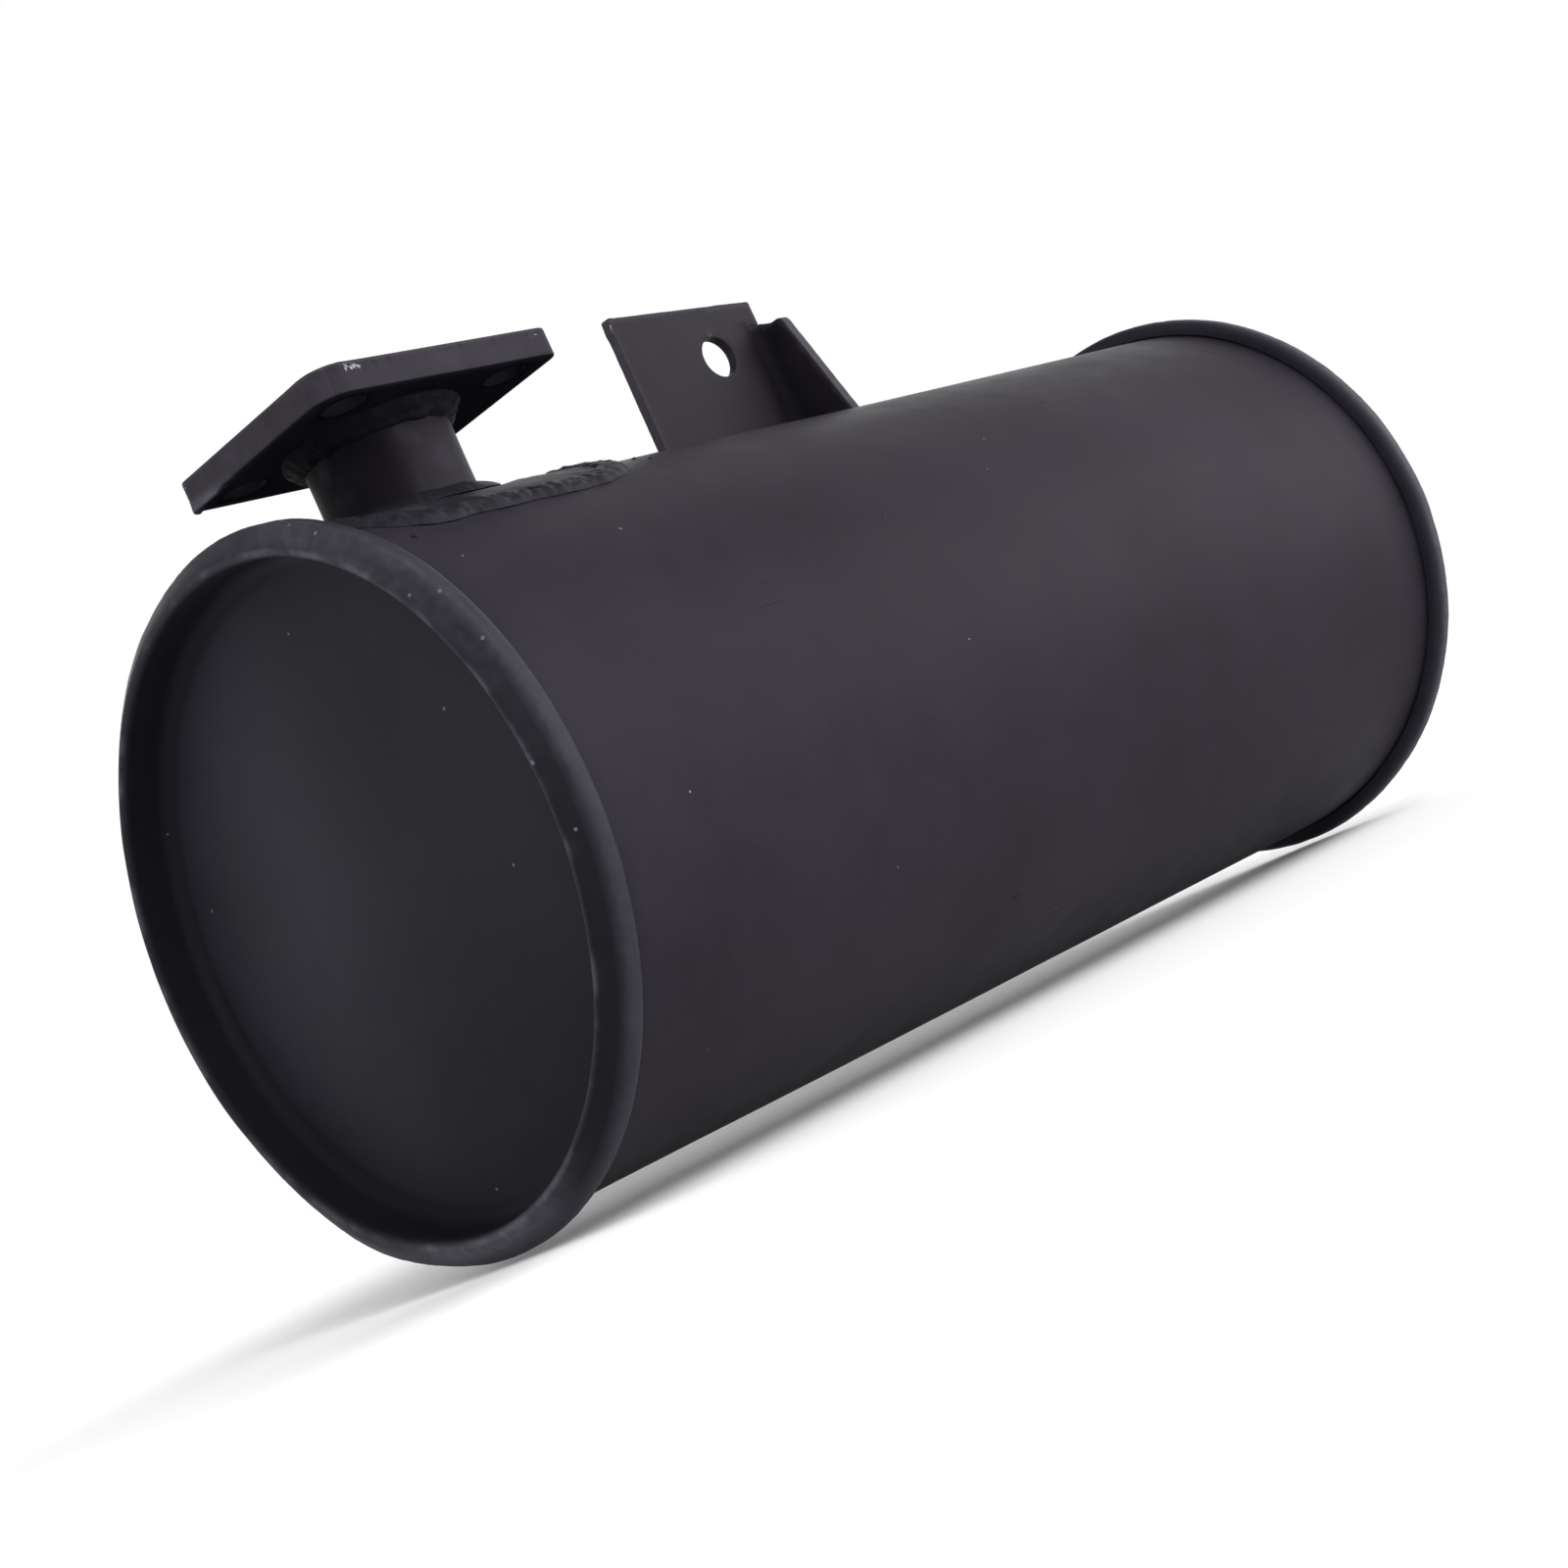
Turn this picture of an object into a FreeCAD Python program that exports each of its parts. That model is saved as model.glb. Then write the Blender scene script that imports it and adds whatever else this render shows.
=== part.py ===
import FreeCAD, Part

import math
import os

# Exhaust silencer with a bolted inlet flange, a bent mounting bracket and rolled end caps.
#
# The origin is the centre of the inlet flange's mating face. +Z points out of that face, towards the
# engine, and +X runs along the shell towards the outlet end. The shell's axis lies below the origin.
# All sizes are in millimetres. Names that end in _height are measured from the shell's axis.

os.makedirs("parts", exist_ok=True)

# Shell and rolled rims
shell_radius = 89.4
sheet = 1.6
rim_radius = 94.3
rim_spacing = 380.0
front_rim_x = -66.3
rear_rim_x = front_rim_x + rim_spacing
cap_recess = 7.5
rim_overhang = 6.5
rim_slope = 5.1
curl_reach = 2.95
curl_gap = 0.35
hook_setback = 0.25
hook_rise = 2.6

# Shell seam, on the underside away from the gusset
seam_angle = 150.0
seam_width = 5.0
seam_rise = 0.6

# Inlet flange, centred on the origin
flange_length = 80.0
flange_width = 72.0
flange_thickness = 8.0
flange_corner = 4.5
flange_large_corner = 9.5
bolt_spacing_x = 55.0
bolt_spacing_y = 51.0
bolt_hole_radius = 6.0
axis_z = -123.6

# Inlet and outlet pipes
pipe_radius = 20.5
pipe_wall = 2.0
pipe_x = -1.6
pipe_setback = 2.5
pipe_depth_inside = 26.0
outlet_start_x = 252.0
outlet_end_x = 360.0
stop_bead_x = 318.3
stop_bead_rise = 1.2
slip_gap = 0.1
core_wall = 1.2
core_overlap = 16.0
core_radius = pipe_radius - pipe_wall - slip_gap

# Saddle plate round the inlet pipe
saddle_thickness = 1.2
saddle_front_x = -48.0
saddle_rear_x = 34.0
saddle_half_width = 46.5
saddle_corner = 16.0
saddle_bead_width = 3.4
saddle_bead_rise = 1.5

# Weld legs
flange_weld_leg = 5.2
bore_weld_leg = 1.6
base_weld_leg = 3.0
outlet_weld_leg = 4.0
bracket_weld_leg = 3.0
tube_weld_leg = 2.0

# Mounting bracket, one bent plate that leans slightly towards the outlet end
plate = 3.4
bracket_front_x = 98.9
bracket_rear_x = 159.5
bracket_front_top_height = 135.4
bracket_rear_top_height = 134.0
bracket_lean = 0.8
lean_pivot_height = 109.0
relief_height = 126.0
bend_radius = 4.0
gusset_rear_x = 161.2
gusset_top_height = 123.6
gusset_corner_y = -10.5
gusset_corner_radius = 2.5
gusset_foot_y = -22.3
gusset_foot_height = 86.0
bracket_hole_x = 137.1
bracket_hole_height = 117.8
bracket_hole_radius = 6.5

# Baffles and inner tubes
baffle_sheet = 1.2
baffle_gap = 0.2
baffle_edge = 12.0
baffle_bend = 3.0
front_baffle_x = 62.0
rear_baffle_x = 190.0
transfer_radius = 16.0
transfer_y = 42.0
transfer_height = 18.0
transfer_start_x = 32.0
transfer_end_x = 224.0
return_height = -50.0
return_start_x = 160.0
return_end_x = 232.0
core_start_x = 96.0
diffuser_foot_height = -72.0
diffuser_cup_depth = 8.0
perforation_radius = 2.5
perforation_pitch = 12.0

clear = 1.0  # how far a cutting tool runs past what it cuts

X = FreeCAD.Vector(1, 0, 0)
Y = FreeCAD.Vector(0, 1, 0)
Z = FreeCAD.Vector(0, 0, 1)


def vec(x, y, z):
    return FreeCAD.Vector(x, y, z)


def save(shape, node):
    """Writes one named piece, after checking that it is sound."""
    solids = shape.Solids
    if not solids or not shape.isValid():
        raise ValueError(node + " is not a valid solid")
    piece = solids[0] if len(solids) == 1 else Part.makeCompound(solids)
    piece.exportStep("parts/" + node + ".step")


def polygon(points):
    return Part.Face(Part.makePolygon(points + points[:1]))


def upright_edges(body):
    return [e for e in body.Edges if abs(e.tangentAt(e.FirstParameter).z) > 0.9]


def x_rod(radius, start, end, y=0.0, height=0.0):
    return Part.makeCylinder(radius, end - start, vec(start, y, axis_z + height), X)


def z_rod(radius, bottom, top, x=pipe_x, y=0.0):
    """An upright cylinder, on the inlet pipe's axis unless told otherwise."""
    return Part.makeCylinder(radius, top - bottom, vec(x, y, bottom), Z)


def x_tube(radius, wall, start, end, y=0.0, height=0.0):
    outer = x_rod(radius, start, end, y, height)
    return outer.cut(x_rod(radius - wall, start - clear, end + clear, y, height))


def z_tube(radius, wall, bottom, top):
    return z_rod(radius, bottom, top).cut(z_rod(radius - wall, bottom - clear, top + clear))


def sheet_side(points, radii, shift):
    """One side of a bent sheet: edges at a distance from its middle line, with an arc at each bend."""
    edges = []
    start = None
    for i in range(1, len(points)):
        run = (points[i] - points[i - 1]).normalize()
        normal = vec(-run.y, run.x, 0)
        if start is None:
            start = points[0] + normal * shift
        if i == len(points) - 1:
            edges.append(Part.LineSegment(start, points[i] + normal * shift).toShape())
            break
        after = (points[i + 1] - points[i]).normalize()
        after_normal = vec(-after.y, after.x, 0)
        inside = 1 if run.cross(after).z > 0 else -1
        reach = radii[i - 1] * math.tan(run.getAngle(after) / 2)
        centre = points[i] - run * reach + normal * (inside * radii[i - 1])
        bend = inside * radii[i - 1] - shift
        arc_start = centre - normal * bend
        arc_end = centre - after_normal * bend
        middle = centre - (normal + after_normal).normalize() * bend
        edges.append(Part.LineSegment(start, arc_start).toShape())
        edges.append(Part.Arc(arc_start, middle, arc_end).toShape())
        start = arc_end
    return edges


def bent_sheet(points, radii, thickness):
    """The cross-section of a bent sheet, as a face in the XY plane.

    The points give the middle line, and radii the bend radius at each of its inner points.
    """
    line = [vec(x, y, 0) for x, y in points]
    left = sheet_side(line, radii, thickness / 2)
    right = sheet_side(line, radii, -thickness / 2)
    first = Part.LineSegment(left[0].Vertexes[0].Point, right[0].Vertexes[0].Point).toShape()
    last = Part.LineSegment(left[-1].Vertexes[-1].Point, right[-1].Vertexes[-1].Point).toShape()
    return Part.Face(Part.Wire(Part.sortEdges(left + right + [first, last])[0]))


def spun(face, y=0.0, height=0.0):
    """Turns a section, drawn in x and radius, about an axis parallel to the shell's."""
    solid = face.revolve(vec(0, 0, 0), X, 360)
    solid.translate(vec(0, y, axis_z + height))
    return solid


def x_ring_weld(radius, leg, face_x, direction, y=0.0, height=0.0):
    """A fillet weld round a tube that runs along X, against a wall at face_x."""
    corners = [
        vec(face_x, radius, 0),
        vec(face_x, radius + leg, 0),
        vec(face_x + direction * leg, radius, 0),
    ]
    return spun(polygon(corners), y, height)


def z_ring_weld(radius, outward, upward, level):
    """A fillet weld round the inlet pipe's axis, with one leg along the plate and one along the pipe."""
    corners = [
        vec(pipe_x + radius, 0, level),
        vec(pipe_x + radius + outward, 0, level),
        vec(pipe_x + radius, 0, level + upward),
    ]
    return polygon(corners).revolve(vec(pipe_x, 0, 0), Z, 360)


def shell():
    """One rolled sheet whose ends turn outwards into hooks, with a hole for the inlet pipe."""
    middle = shell_radius - sheet / 2
    hook_radius = shell_radius + hook_rise
    path = [
        (front_rim_x - hook_setback, hook_radius),
        (front_rim_x - hook_setback, middle),
        (rear_rim_x + hook_setback, middle),
        (rear_rim_x + hook_setback, hook_radius),
    ]
    return spun(bent_sheet(path, [1.2, 1.2], sheet)).cut(z_rod(pipe_radius, axis_z, 0))


def shell_seam_weld():
    """A flat bead along the closed seam, from rim to rim."""
    start = front_rim_x + curl_reach + 2
    end = rear_rim_x - curl_reach - 2
    ring = x_tube(shell_radius + seam_rise, seam_rise, start, end)
    strip = Part.makeBox(end - start, seam_width, 2 * shell_radius, vec(start, -seam_width / 2, 0))
    strip.rotate(vec(0, 0, 0), X, -seam_angle)
    strip.translate(vec(0, 0, axis_z))
    return ring.common(strip)


def end_cap(plane_x, outward):
    """A recessed disc whose edge rises, rolls outwards and curls down behind the shell's hook."""
    wall = shell_radius - 1.5 * sheet
    top = rim_radius - sheet / 2
    floor = cap_recess + sheet / 2
    path = [
        (floor, 0.0),
        (floor, wall),
        (-rim_overhang, wall),
        (rim_slope - rim_overhang, top),
        (curl_reach, top),
        (curl_reach, shell_radius + curl_gap),
    ]
    placed = [(plane_x - outward * x, radius) for x, radius in path]
    return spun(bent_sheet(placed, [4.4, 1.0, 1.6, 2.2], sheet))


def rear_end_cap():
    hole = x_rod(pipe_radius, rear_rim_x - 2 * cap_recess, rear_rim_x + cap_recess)
    return end_cap(rear_rim_x, 1).cut(hole)


def inlet_flange():
    """A thick plate with a bore for the pipe and a hole near each corner. One corner is rounder."""
    base = vec(-flange_length / 2, -flange_width / 2, -flange_thickness)
    body = Part.makeBox(flange_length, flange_width, flange_thickness, base)
    small = [e for e in upright_edges(body) if max(e.CenterOfMass.x, e.CenterOfMass.y) > 0]
    body = body.makeFillet(flange_corner, small)
    large = [e for e in upright_edges(body) if e.CenterOfMass.x + e.CenterOfMass.y < base.x + base.y + clear]
    body = body.makeFillet(flange_large_corner, large)
    body = body.cut(z_rod(pipe_radius, -flange_thickness - clear, clear))
    for side_x in (-1, 1):
        for side_y in (-1, 1):
            x = side_x * bolt_spacing_x / 2
            y = side_y * bolt_spacing_y / 2
            body = body.cut(z_rod(bolt_hole_radius, -flange_thickness - clear, clear, x, y))
    return body


def inlet_pipe():
    bottom = axis_z + shell_radius - pipe_depth_inside
    return z_tube(pipe_radius, pipe_wall, bottom, -pipe_setback)


def flange_weld():
    return z_ring_weld(pipe_radius, flange_weld_leg, -flange_weld_leg, -flange_thickness)


def flange_bore_weld():
    """A small bead inside the flange's bore, on the end of the pipe."""
    return z_ring_weld(pipe_radius, -bore_weld_leg, bore_weld_leg, -pipe_setback)


def saddle_footprint(grow):
    """An upright block over the saddle's outline, grown on all sides."""
    length = saddle_rear_x - saddle_front_x + 2 * grow
    width = 2 * (saddle_half_width + grow)
    block = Part.makeBox(length, width, -axis_z, vec(saddle_front_x - grow, -width / 2, axis_z))
    return block.makeFillet(saddle_corner + grow, upright_edges(block))


def saddle_layer(thickness):
    """A layer on the shell that is longer than the saddle and its weld."""
    margin = 2 * saddle_bead_width
    start = saddle_front_x - margin
    return x_tube(shell_radius + thickness, thickness, start, saddle_rear_x + margin)


def saddle_plate():
    body = saddle_layer(saddle_thickness).common(saddle_footprint(0))
    return body.cut(z_rod(pipe_radius, axis_z, 0))


def saddle_weld():
    """A bead laid round the saddle's edge."""
    band = saddle_footprint(saddle_bead_width).cut(saddle_footprint(0))
    return saddle_layer(saddle_bead_rise).common(band)


def pipe_base_weld():
    """A fillet between the pipe and the saddle's curved top."""
    top = shell_radius + saddle_thickness
    collar_radius = pipe_radius + base_weld_leg
    collar = z_tube(collar_radius, base_weld_leg, axis_z + top / 2, 0)
    layer = x_tube(top + base_weld_leg, base_weld_leg, -2 * collar_radius, 2 * collar_radius)
    ring = layer.common(collar)
    outer_rim = []
    for edge in ring.Edges:
        from_pipe = [math.hypot(v.X - pipe_x, v.Y) for v in edge.Vertexes]
        from_axis = [math.hypot(v.Y, v.Z - axis_z) for v in edge.Vertexes]
        if min(from_pipe) > collar_radius - 0.01 and min(from_axis) > top + base_weld_leg - 0.01:
            outer_rim.append(edge)
    return ring.makeChamfer(0.9 * base_weld_leg, outer_rim)


def leaned(solid):
    """Leans a bracket piece towards the outlet end."""
    middle_x = (bracket_front_x + bracket_rear_x) / 2
    solid.rotate(vec(middle_x, 0, axis_z + lean_pivot_height), Y, bracket_lean)
    return solid


def bracket_lower():
    """The part of the bracket below the relief cut: a flat run, a bend and the gusset."""
    gusset_middle_x = gusset_rear_x - plate / 2
    plan = [
        (bracket_front_x, plate / 2),
        (gusset_middle_x, plate / 2),
        (gusset_middle_x, 2 * gusset_foot_y),
    ]
    face = bent_sheet(plan, [bend_radius + plate / 2], plate)
    bottom = shell_radius / 2
    face.translate(vec(0, 0, axis_z + bottom))
    return face.extrude(vec(0, 0, relief_height - bottom))


def gusset_profile():
    """A slab that keeps only the gusset's outline: a dip at the bend, a rounded corner, a long slope."""
    slope = (gusset_foot_y - gusset_corner_y) / (gusset_top_height - gusset_foot_height)
    low = shell_radius / 2
    low_y = gusset_foot_y + slope * (gusset_foot_height - low)
    outline = [
        vec(0, 2 * plate, axis_z + relief_height),
        vec(0, -bend_radius / 2, axis_z + relief_height - 0.6),
        vec(0, -1.4 * bend_radius, axis_z + gusset_top_height),
        vec(0, gusset_corner_y, axis_z + gusset_top_height),
        vec(0, low_y, axis_z + low),
        vec(0, 2 * plate, axis_z + low),
    ]
    face = polygon(outline)
    start = gusset_rear_x - plate - bend_radius
    face.translate(vec(start, 0, 0))
    slab = face.extrude(vec(gusset_rear_x + clear - start, 0, 0))
    corner = []
    for edge in slab.Edges:
        middle = edge.CenterOfMass
        at_corner = abs(middle.y - gusset_corner_y) + abs(middle.z - axis_z - gusset_top_height)
        if at_corner < 0.01:
            corner.append(edge)
    return slab.makeFillet(gusset_corner_radius, corner)


def bracket_upper():
    """The flat plate above the relief cut. Its top edge slopes a little."""
    outline = [
        vec(bracket_front_x, 0, axis_z + relief_height),
        vec(bracket_rear_x, 0, axis_z + relief_height),
        vec(bracket_rear_x, 0, axis_z + bracket_rear_top_height),
        vec(bracket_front_x, 0, axis_z + bracket_front_top_height),
    ]
    return polygon(outline).extrude(vec(0, plate, 0))


def mounting_bracket():
    """A flat plate with a hole, and a gusset bent off its rear edge below a relief cut."""
    bend_start = gusset_rear_x - plate - bend_radius
    lower = bracket_lower()
    flat_zone = Part.makeBox(bend_start, plate, 2 * relief_height, vec(0, 0, axis_z))
    lower = lower.common(flat_zone).fuse(lower.common(gusset_profile()))
    body = leaned(lower.fuse(bracket_upper()).removeSplitter())
    body = body.cut(x_rod(shell_radius, bracket_front_x - plate, gusset_rear_x + plate))
    drill_start = vec(bracket_hole_x, -plate, axis_z + bracket_hole_height)
    return body.cut(Part.makeCylinder(bracket_hole_radius, 3 * plate, drill_start, Y))


def plate_foot_weld(start_x, end_x, plate_face_y, direction):
    """A fillet bead along one face of the bracket's flat foot."""
    foot = axis_z + shell_radius
    leg = bracket_weld_leg
    outline = [
        vec(start_x, plate_face_y, foot - leg),
        vec(start_x, plate_face_y + direction * leg, foot - leg),
        vec(start_x, plate_face_y + direction * leg, foot),
        vec(start_x, plate_face_y, foot + leg),
    ]
    bead = polygon(outline).extrude(vec(end_x - start_x, 0, 0))
    return bead.cut(x_rod(shell_radius, start_x - clear, end_x + clear))


def bracket_plate_welds():
    """Beads along both faces of the bracket's flat foot."""
    start = bracket_front_x + 2
    bend_start = gusset_rear_x - plate - bend_radius
    front = plate_foot_weld(start, bend_start - 2, 0, -1)
    back = plate_foot_weld(start, bend_start, plate, 1)
    return Part.makeCompound([front, back])


def bracket_gusset_weld():
    """A short bead behind the gusset's foot."""
    leg = bracket_weld_leg
    layer = x_tube(shell_radius + leg, leg, gusset_rear_x - plate, gusset_rear_x + plate)
    start = vec(gusset_rear_x - plate / 2, gusset_foot_y / 2, axis_z + shell_radius / 2)
    block = Part.makeBox(plate, -gusset_foot_y / 3, shell_radius, start)
    return layer.common(block).cut(mounting_bracket())


def perforated(tube, first, last, drill):
    """Cuts rows of holes through a tube, each row turned a little from the one before."""
    holes = []
    rows = int((last - first) / perforation_pitch)
    for row in range(rows + 1):
        for step in range(4):
            holes.append(drill(first + perforation_pitch * row, 45.0 * step + 22.5 * (row % 2)))
    return tube.cut(Part.makeCompound(holes))


def drill_through(centre, direction, radius):
    """A drill that crosses a tube of the given radius, through a point on its axis."""
    reach = radius + 2 * clear
    return Part.makeCylinder(perforation_radius, 2 * reach, centre - direction * reach, direction)


def inlet_diffuser():
    """A perforated tube that slips into the inlet pipe and hangs into the first chamber."""
    bottom = axis_z + diffuser_foot_height
    pipe_end = axis_z + shell_radius - pipe_depth_inside

    def drill(level, angle):
        turn = math.radians(angle)
        return drill_through(vec(pipe_x, 0, level), vec(math.cos(turn), math.sin(turn), 0), core_radius)

    tube = z_tube(core_radius, core_wall, bottom, pipe_end + core_overlap)
    return perforated(tube, bottom + 2 * diffuser_cup_depth, pipe_end - perforation_pitch, drill)


def diffuser_plug():
    """A shallow pressed cup that closes the diffuser's lower end."""
    radius = core_radius - core_wall
    bottom = axis_z + diffuser_foot_height
    top = bottom + diffuser_cup_depth
    return z_rod(radius, bottom, top).cut(z_rod(radius - core_wall, bottom + core_wall, top + clear))


def perforated_x_tube(opening, start, end, first, last):
    radius, y, height = opening

    def drill(x, angle):
        turn = math.radians(angle)
        centre = vec(x, y, axis_z + height)
        return drill_through(centre, vec(0, math.cos(turn), math.sin(turn)), radius)

    return perforated(x_tube(radius, core_wall, start, end, y, height), first, last, drill)


# Tubes that cross the baffles, each as its radius, its y and its height above the shell's axis
left_transfer = (transfer_radius, -transfer_y, transfer_height)
right_transfer = (transfer_radius, transfer_y, transfer_height)
return_line = (transfer_radius, 0.0, return_height)
core_line = (core_radius, 0.0, 0.0)
front_openings = [left_transfer, right_transfer]
rear_openings = [left_transfer, right_transfer, return_line, core_line]


def baffle(plane_x, openings):
    """A pressed disc with a turned edge that fits inside the shell, with holes for tubes."""
    edge = shell_radius - sheet - baffle_gap - baffle_sheet / 2
    path = [(plane_x, 0.0), (plane_x, edge), (plane_x + baffle_edge, edge)]
    body = spun(bent_sheet(path, [baffle_bend], baffle_sheet))
    for radius, y, height in openings:
        body = body.cut(x_rod(radius, plane_x - baffle_sheet, plane_x + baffle_sheet, y, height))
    return body


def tube_welds(plane_x, openings):
    """Fillet beads that hold the tubes to a baffle."""
    face_x = plane_x - baffle_sheet / 2
    rings = []
    for radius, y, height in openings:
        rings.append(x_ring_weld(radius, tube_weld_leg, face_x, -1, y, height))
    return Part.makeCompound(rings)


def transfer_tube(opening):
    """A tube through both baffles that is perforated in the middle chamber."""
    first = front_baffle_x + perforation_pitch
    last = rear_baffle_x - perforation_pitch
    return perforated_x_tube(opening, transfer_start_x, transfer_end_x, first, last)


def return_tube():
    radius, y, height = return_line
    return x_tube(radius, core_wall, return_start_x, return_end_x, y, height)


def outlet_core():
    """The perforated inner end of the outlet line, held by the rear baffle."""
    first = core_start_x + perforation_pitch
    last = rear_baffle_x - perforation_pitch
    return perforated_x_tube(core_line, core_start_x, outlet_start_x + core_overlap, first, last)


def outlet_pipe():
    """A stub with a rolled bead that stops the tail pipe."""
    stub = x_tube(pipe_radius, pipe_wall, outlet_start_x, outlet_end_x)
    half_width = 1.5 * stop_bead_rise
    arc = Part.Arc(
        vec(stop_bead_x - half_width, pipe_radius - clear / 2, 0),
        vec(stop_bead_x, pipe_radius + stop_bead_rise, 0),
        vec(stop_bead_x + half_width, pipe_radius - clear / 2, 0),
    ).toShape()
    chord = Part.LineSegment(arc.Vertexes[1].Point, arc.Vertexes[0].Point).toShape()
    return stub.fuse(spun(Part.Face(Part.Wire([arc, chord]))))


def outlet_weld():
    return x_ring_weld(pipe_radius, outlet_weld_leg, rear_rim_x - cap_recess, 1)


save(shell(), "shell")
save(shell_seam_weld(), "shell_seam_weld")
save(end_cap(front_rim_x, -1), "front_end_cap")
save(rear_end_cap(), "rear_end_cap")
save(saddle_plate(), "saddle_plate")
save(saddle_weld(), "saddle_weld")
save(inlet_pipe(), "inlet_pipe")
save(pipe_base_weld(), "pipe_base_weld")
save(inlet_flange(), "inlet_flange")
save(flange_weld(), "flange_weld")
save(flange_bore_weld(), "flange_bore_weld")
save(mounting_bracket(), "mounting_bracket")
save(bracket_plate_welds(), "bracket_plate_welds")
save(bracket_gusset_weld(), "bracket_gusset_weld")
save(outlet_pipe(), "outlet_pipe")
save(outlet_weld(), "outlet_weld")
save(inlet_diffuser(), "inlet_diffuser")
save(diffuser_plug(), "diffuser_plug")
save(baffle(front_baffle_x, front_openings), "front_baffle")
save(baffle(rear_baffle_x, rear_openings), "rear_baffle")
save(transfer_tube(left_transfer), "left_transfer_tube")
save(transfer_tube(right_transfer), "right_transfer_tube")
save(return_tube(), "return_tube")
save(outlet_core(), "outlet_core")
save(tube_welds(front_baffle_x, front_openings), "front_baffle_tube_welds")
save(tube_welds(rear_baffle_x, rear_openings), "rear_baffle_tube_welds")
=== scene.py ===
import math

import bmesh
import bpy
import numpy as np
from mathutils import Euler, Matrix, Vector, geometry


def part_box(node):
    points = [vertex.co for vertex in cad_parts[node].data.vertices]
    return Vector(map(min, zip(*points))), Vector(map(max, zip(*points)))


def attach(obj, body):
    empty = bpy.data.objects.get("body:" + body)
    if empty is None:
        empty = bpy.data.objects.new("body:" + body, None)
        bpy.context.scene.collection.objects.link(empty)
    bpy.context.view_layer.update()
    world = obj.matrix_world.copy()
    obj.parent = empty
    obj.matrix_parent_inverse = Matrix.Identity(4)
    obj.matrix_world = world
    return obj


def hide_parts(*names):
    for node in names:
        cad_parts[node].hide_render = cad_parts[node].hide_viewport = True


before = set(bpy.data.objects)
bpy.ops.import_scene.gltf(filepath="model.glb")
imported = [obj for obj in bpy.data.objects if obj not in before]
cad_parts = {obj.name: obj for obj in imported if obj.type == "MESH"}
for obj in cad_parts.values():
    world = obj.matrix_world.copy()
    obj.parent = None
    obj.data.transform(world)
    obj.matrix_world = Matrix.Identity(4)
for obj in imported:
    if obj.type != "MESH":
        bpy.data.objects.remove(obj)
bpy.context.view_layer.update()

# The looks of an exhaust silencer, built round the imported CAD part.
#
# Every mesh is worked out in millimetres in the part's own frame and is written in metres. Places come
# from the CAD nodes' boxes, and the sizes below are the CAD part's own. Angles round the shell are
# measured from straight up, and are negative on the side of the gusset.

MM = 0.001
AHEAD = np.array([1.0, 0.0, 0.0])
UP = np.array([0.0, 0.0, 1.0])


def box_mm(node):
    low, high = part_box(node)
    return np.array(low) / MM, np.array(high) / MM


SHEET = 1.6
PIPE_WALL = 2.0
TUBE_EDGE = 0.4

shell_low, shell_high = box_mm("shell")
HOOK_RISE = 2.6
HOOK_SETBACK = 0.25
HOOK_BEND = 1.2
AXIS_Z = (shell_low[2] + shell_high[2]) / 2
HOOK_RADIUS = (shell_high[2] - shell_low[2]) / 2
SHELL_RADIUS = HOOK_RADIUS - HOOK_RISE
FRONT_RIM_X = shell_low[0] + HOOK_SETBACK + SHEET / 2
REAR_RIM_X = shell_high[0] - HOOK_SETBACK - SHEET / 2

front_low, front_high = box_mm("front_end_cap")
RIM_RADIUS = (front_high[2] - front_low[2]) / 2
CAP_RECESS = 7.5
RIM_OVERHANG = 6.5
RIM_SLOPE = 5.1
CURL_REACH = 2.95
CURL_GAP = 0.35
CAP_BENDS = (4.4, 1.0, 1.6, 2.2)

flange_low, flange_high = box_mm("inlet_flange")
FLANGE_THICKNESS = flange_high[2] - flange_low[2]
FLANGE_CORNER = 4.5
FLANGE_LARGE_CORNER = 9.5
BOLT_SPACING = (55.0, 51.0)
BOLT_HOLE_RADIUS = 6.0

pipe_low, pipe_high = box_mm("inlet_pipe")
PIPE_X = (pipe_low[0] + pipe_high[0]) / 2
PIPE_RADIUS = (pipe_high[0] - pipe_low[0]) / 2

outlet_low, outlet_high = box_mm("outlet_pipe")
STOP_BEAD_X = 318.3
STOP_BEAD_RISE = 1.2

saddle_low, saddle_high = box_mm("saddle_plate")
SADDLE_THICKNESS = 1.2
SADDLE_CORNER = 16.0

PLATE = 3.4
BEND_RADIUS = 4.0
LEAN = math.radians(0.8)
LEAN_PIVOT = (129.2, 109.0)
BRACKET_FRONT_X = 98.9
BRACKET_REAR_X = 159.5
BRACKET_FRONT_TOP = 135.4
BRACKET_REAR_TOP = 134.0
RELIEF = 126.0
GUSSET_REAR_X = 161.2
GUSSET_TOP = 123.6
GUSSET_CORNER_Y = -10.5
GUSSET_CORNER_RADIUS = 2.5
GUSSET_FOOT = (-22.3, 86.0)
BRACKET_HOLE = (137.1, 117.8)
BRACKET_HOLE_RADIUS = 6.5

# How many steps the round pieces have
SHELL_STEPS = 360
RIM_STEPS = 720
TUBE_STEPS = 160
WELD_STEPS = 400

# Noise and other small helpers

random = np.random.default_rng(7)
HASH = random.permutation(256)
VALUES = random.uniform(-1, 1, 256)


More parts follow.
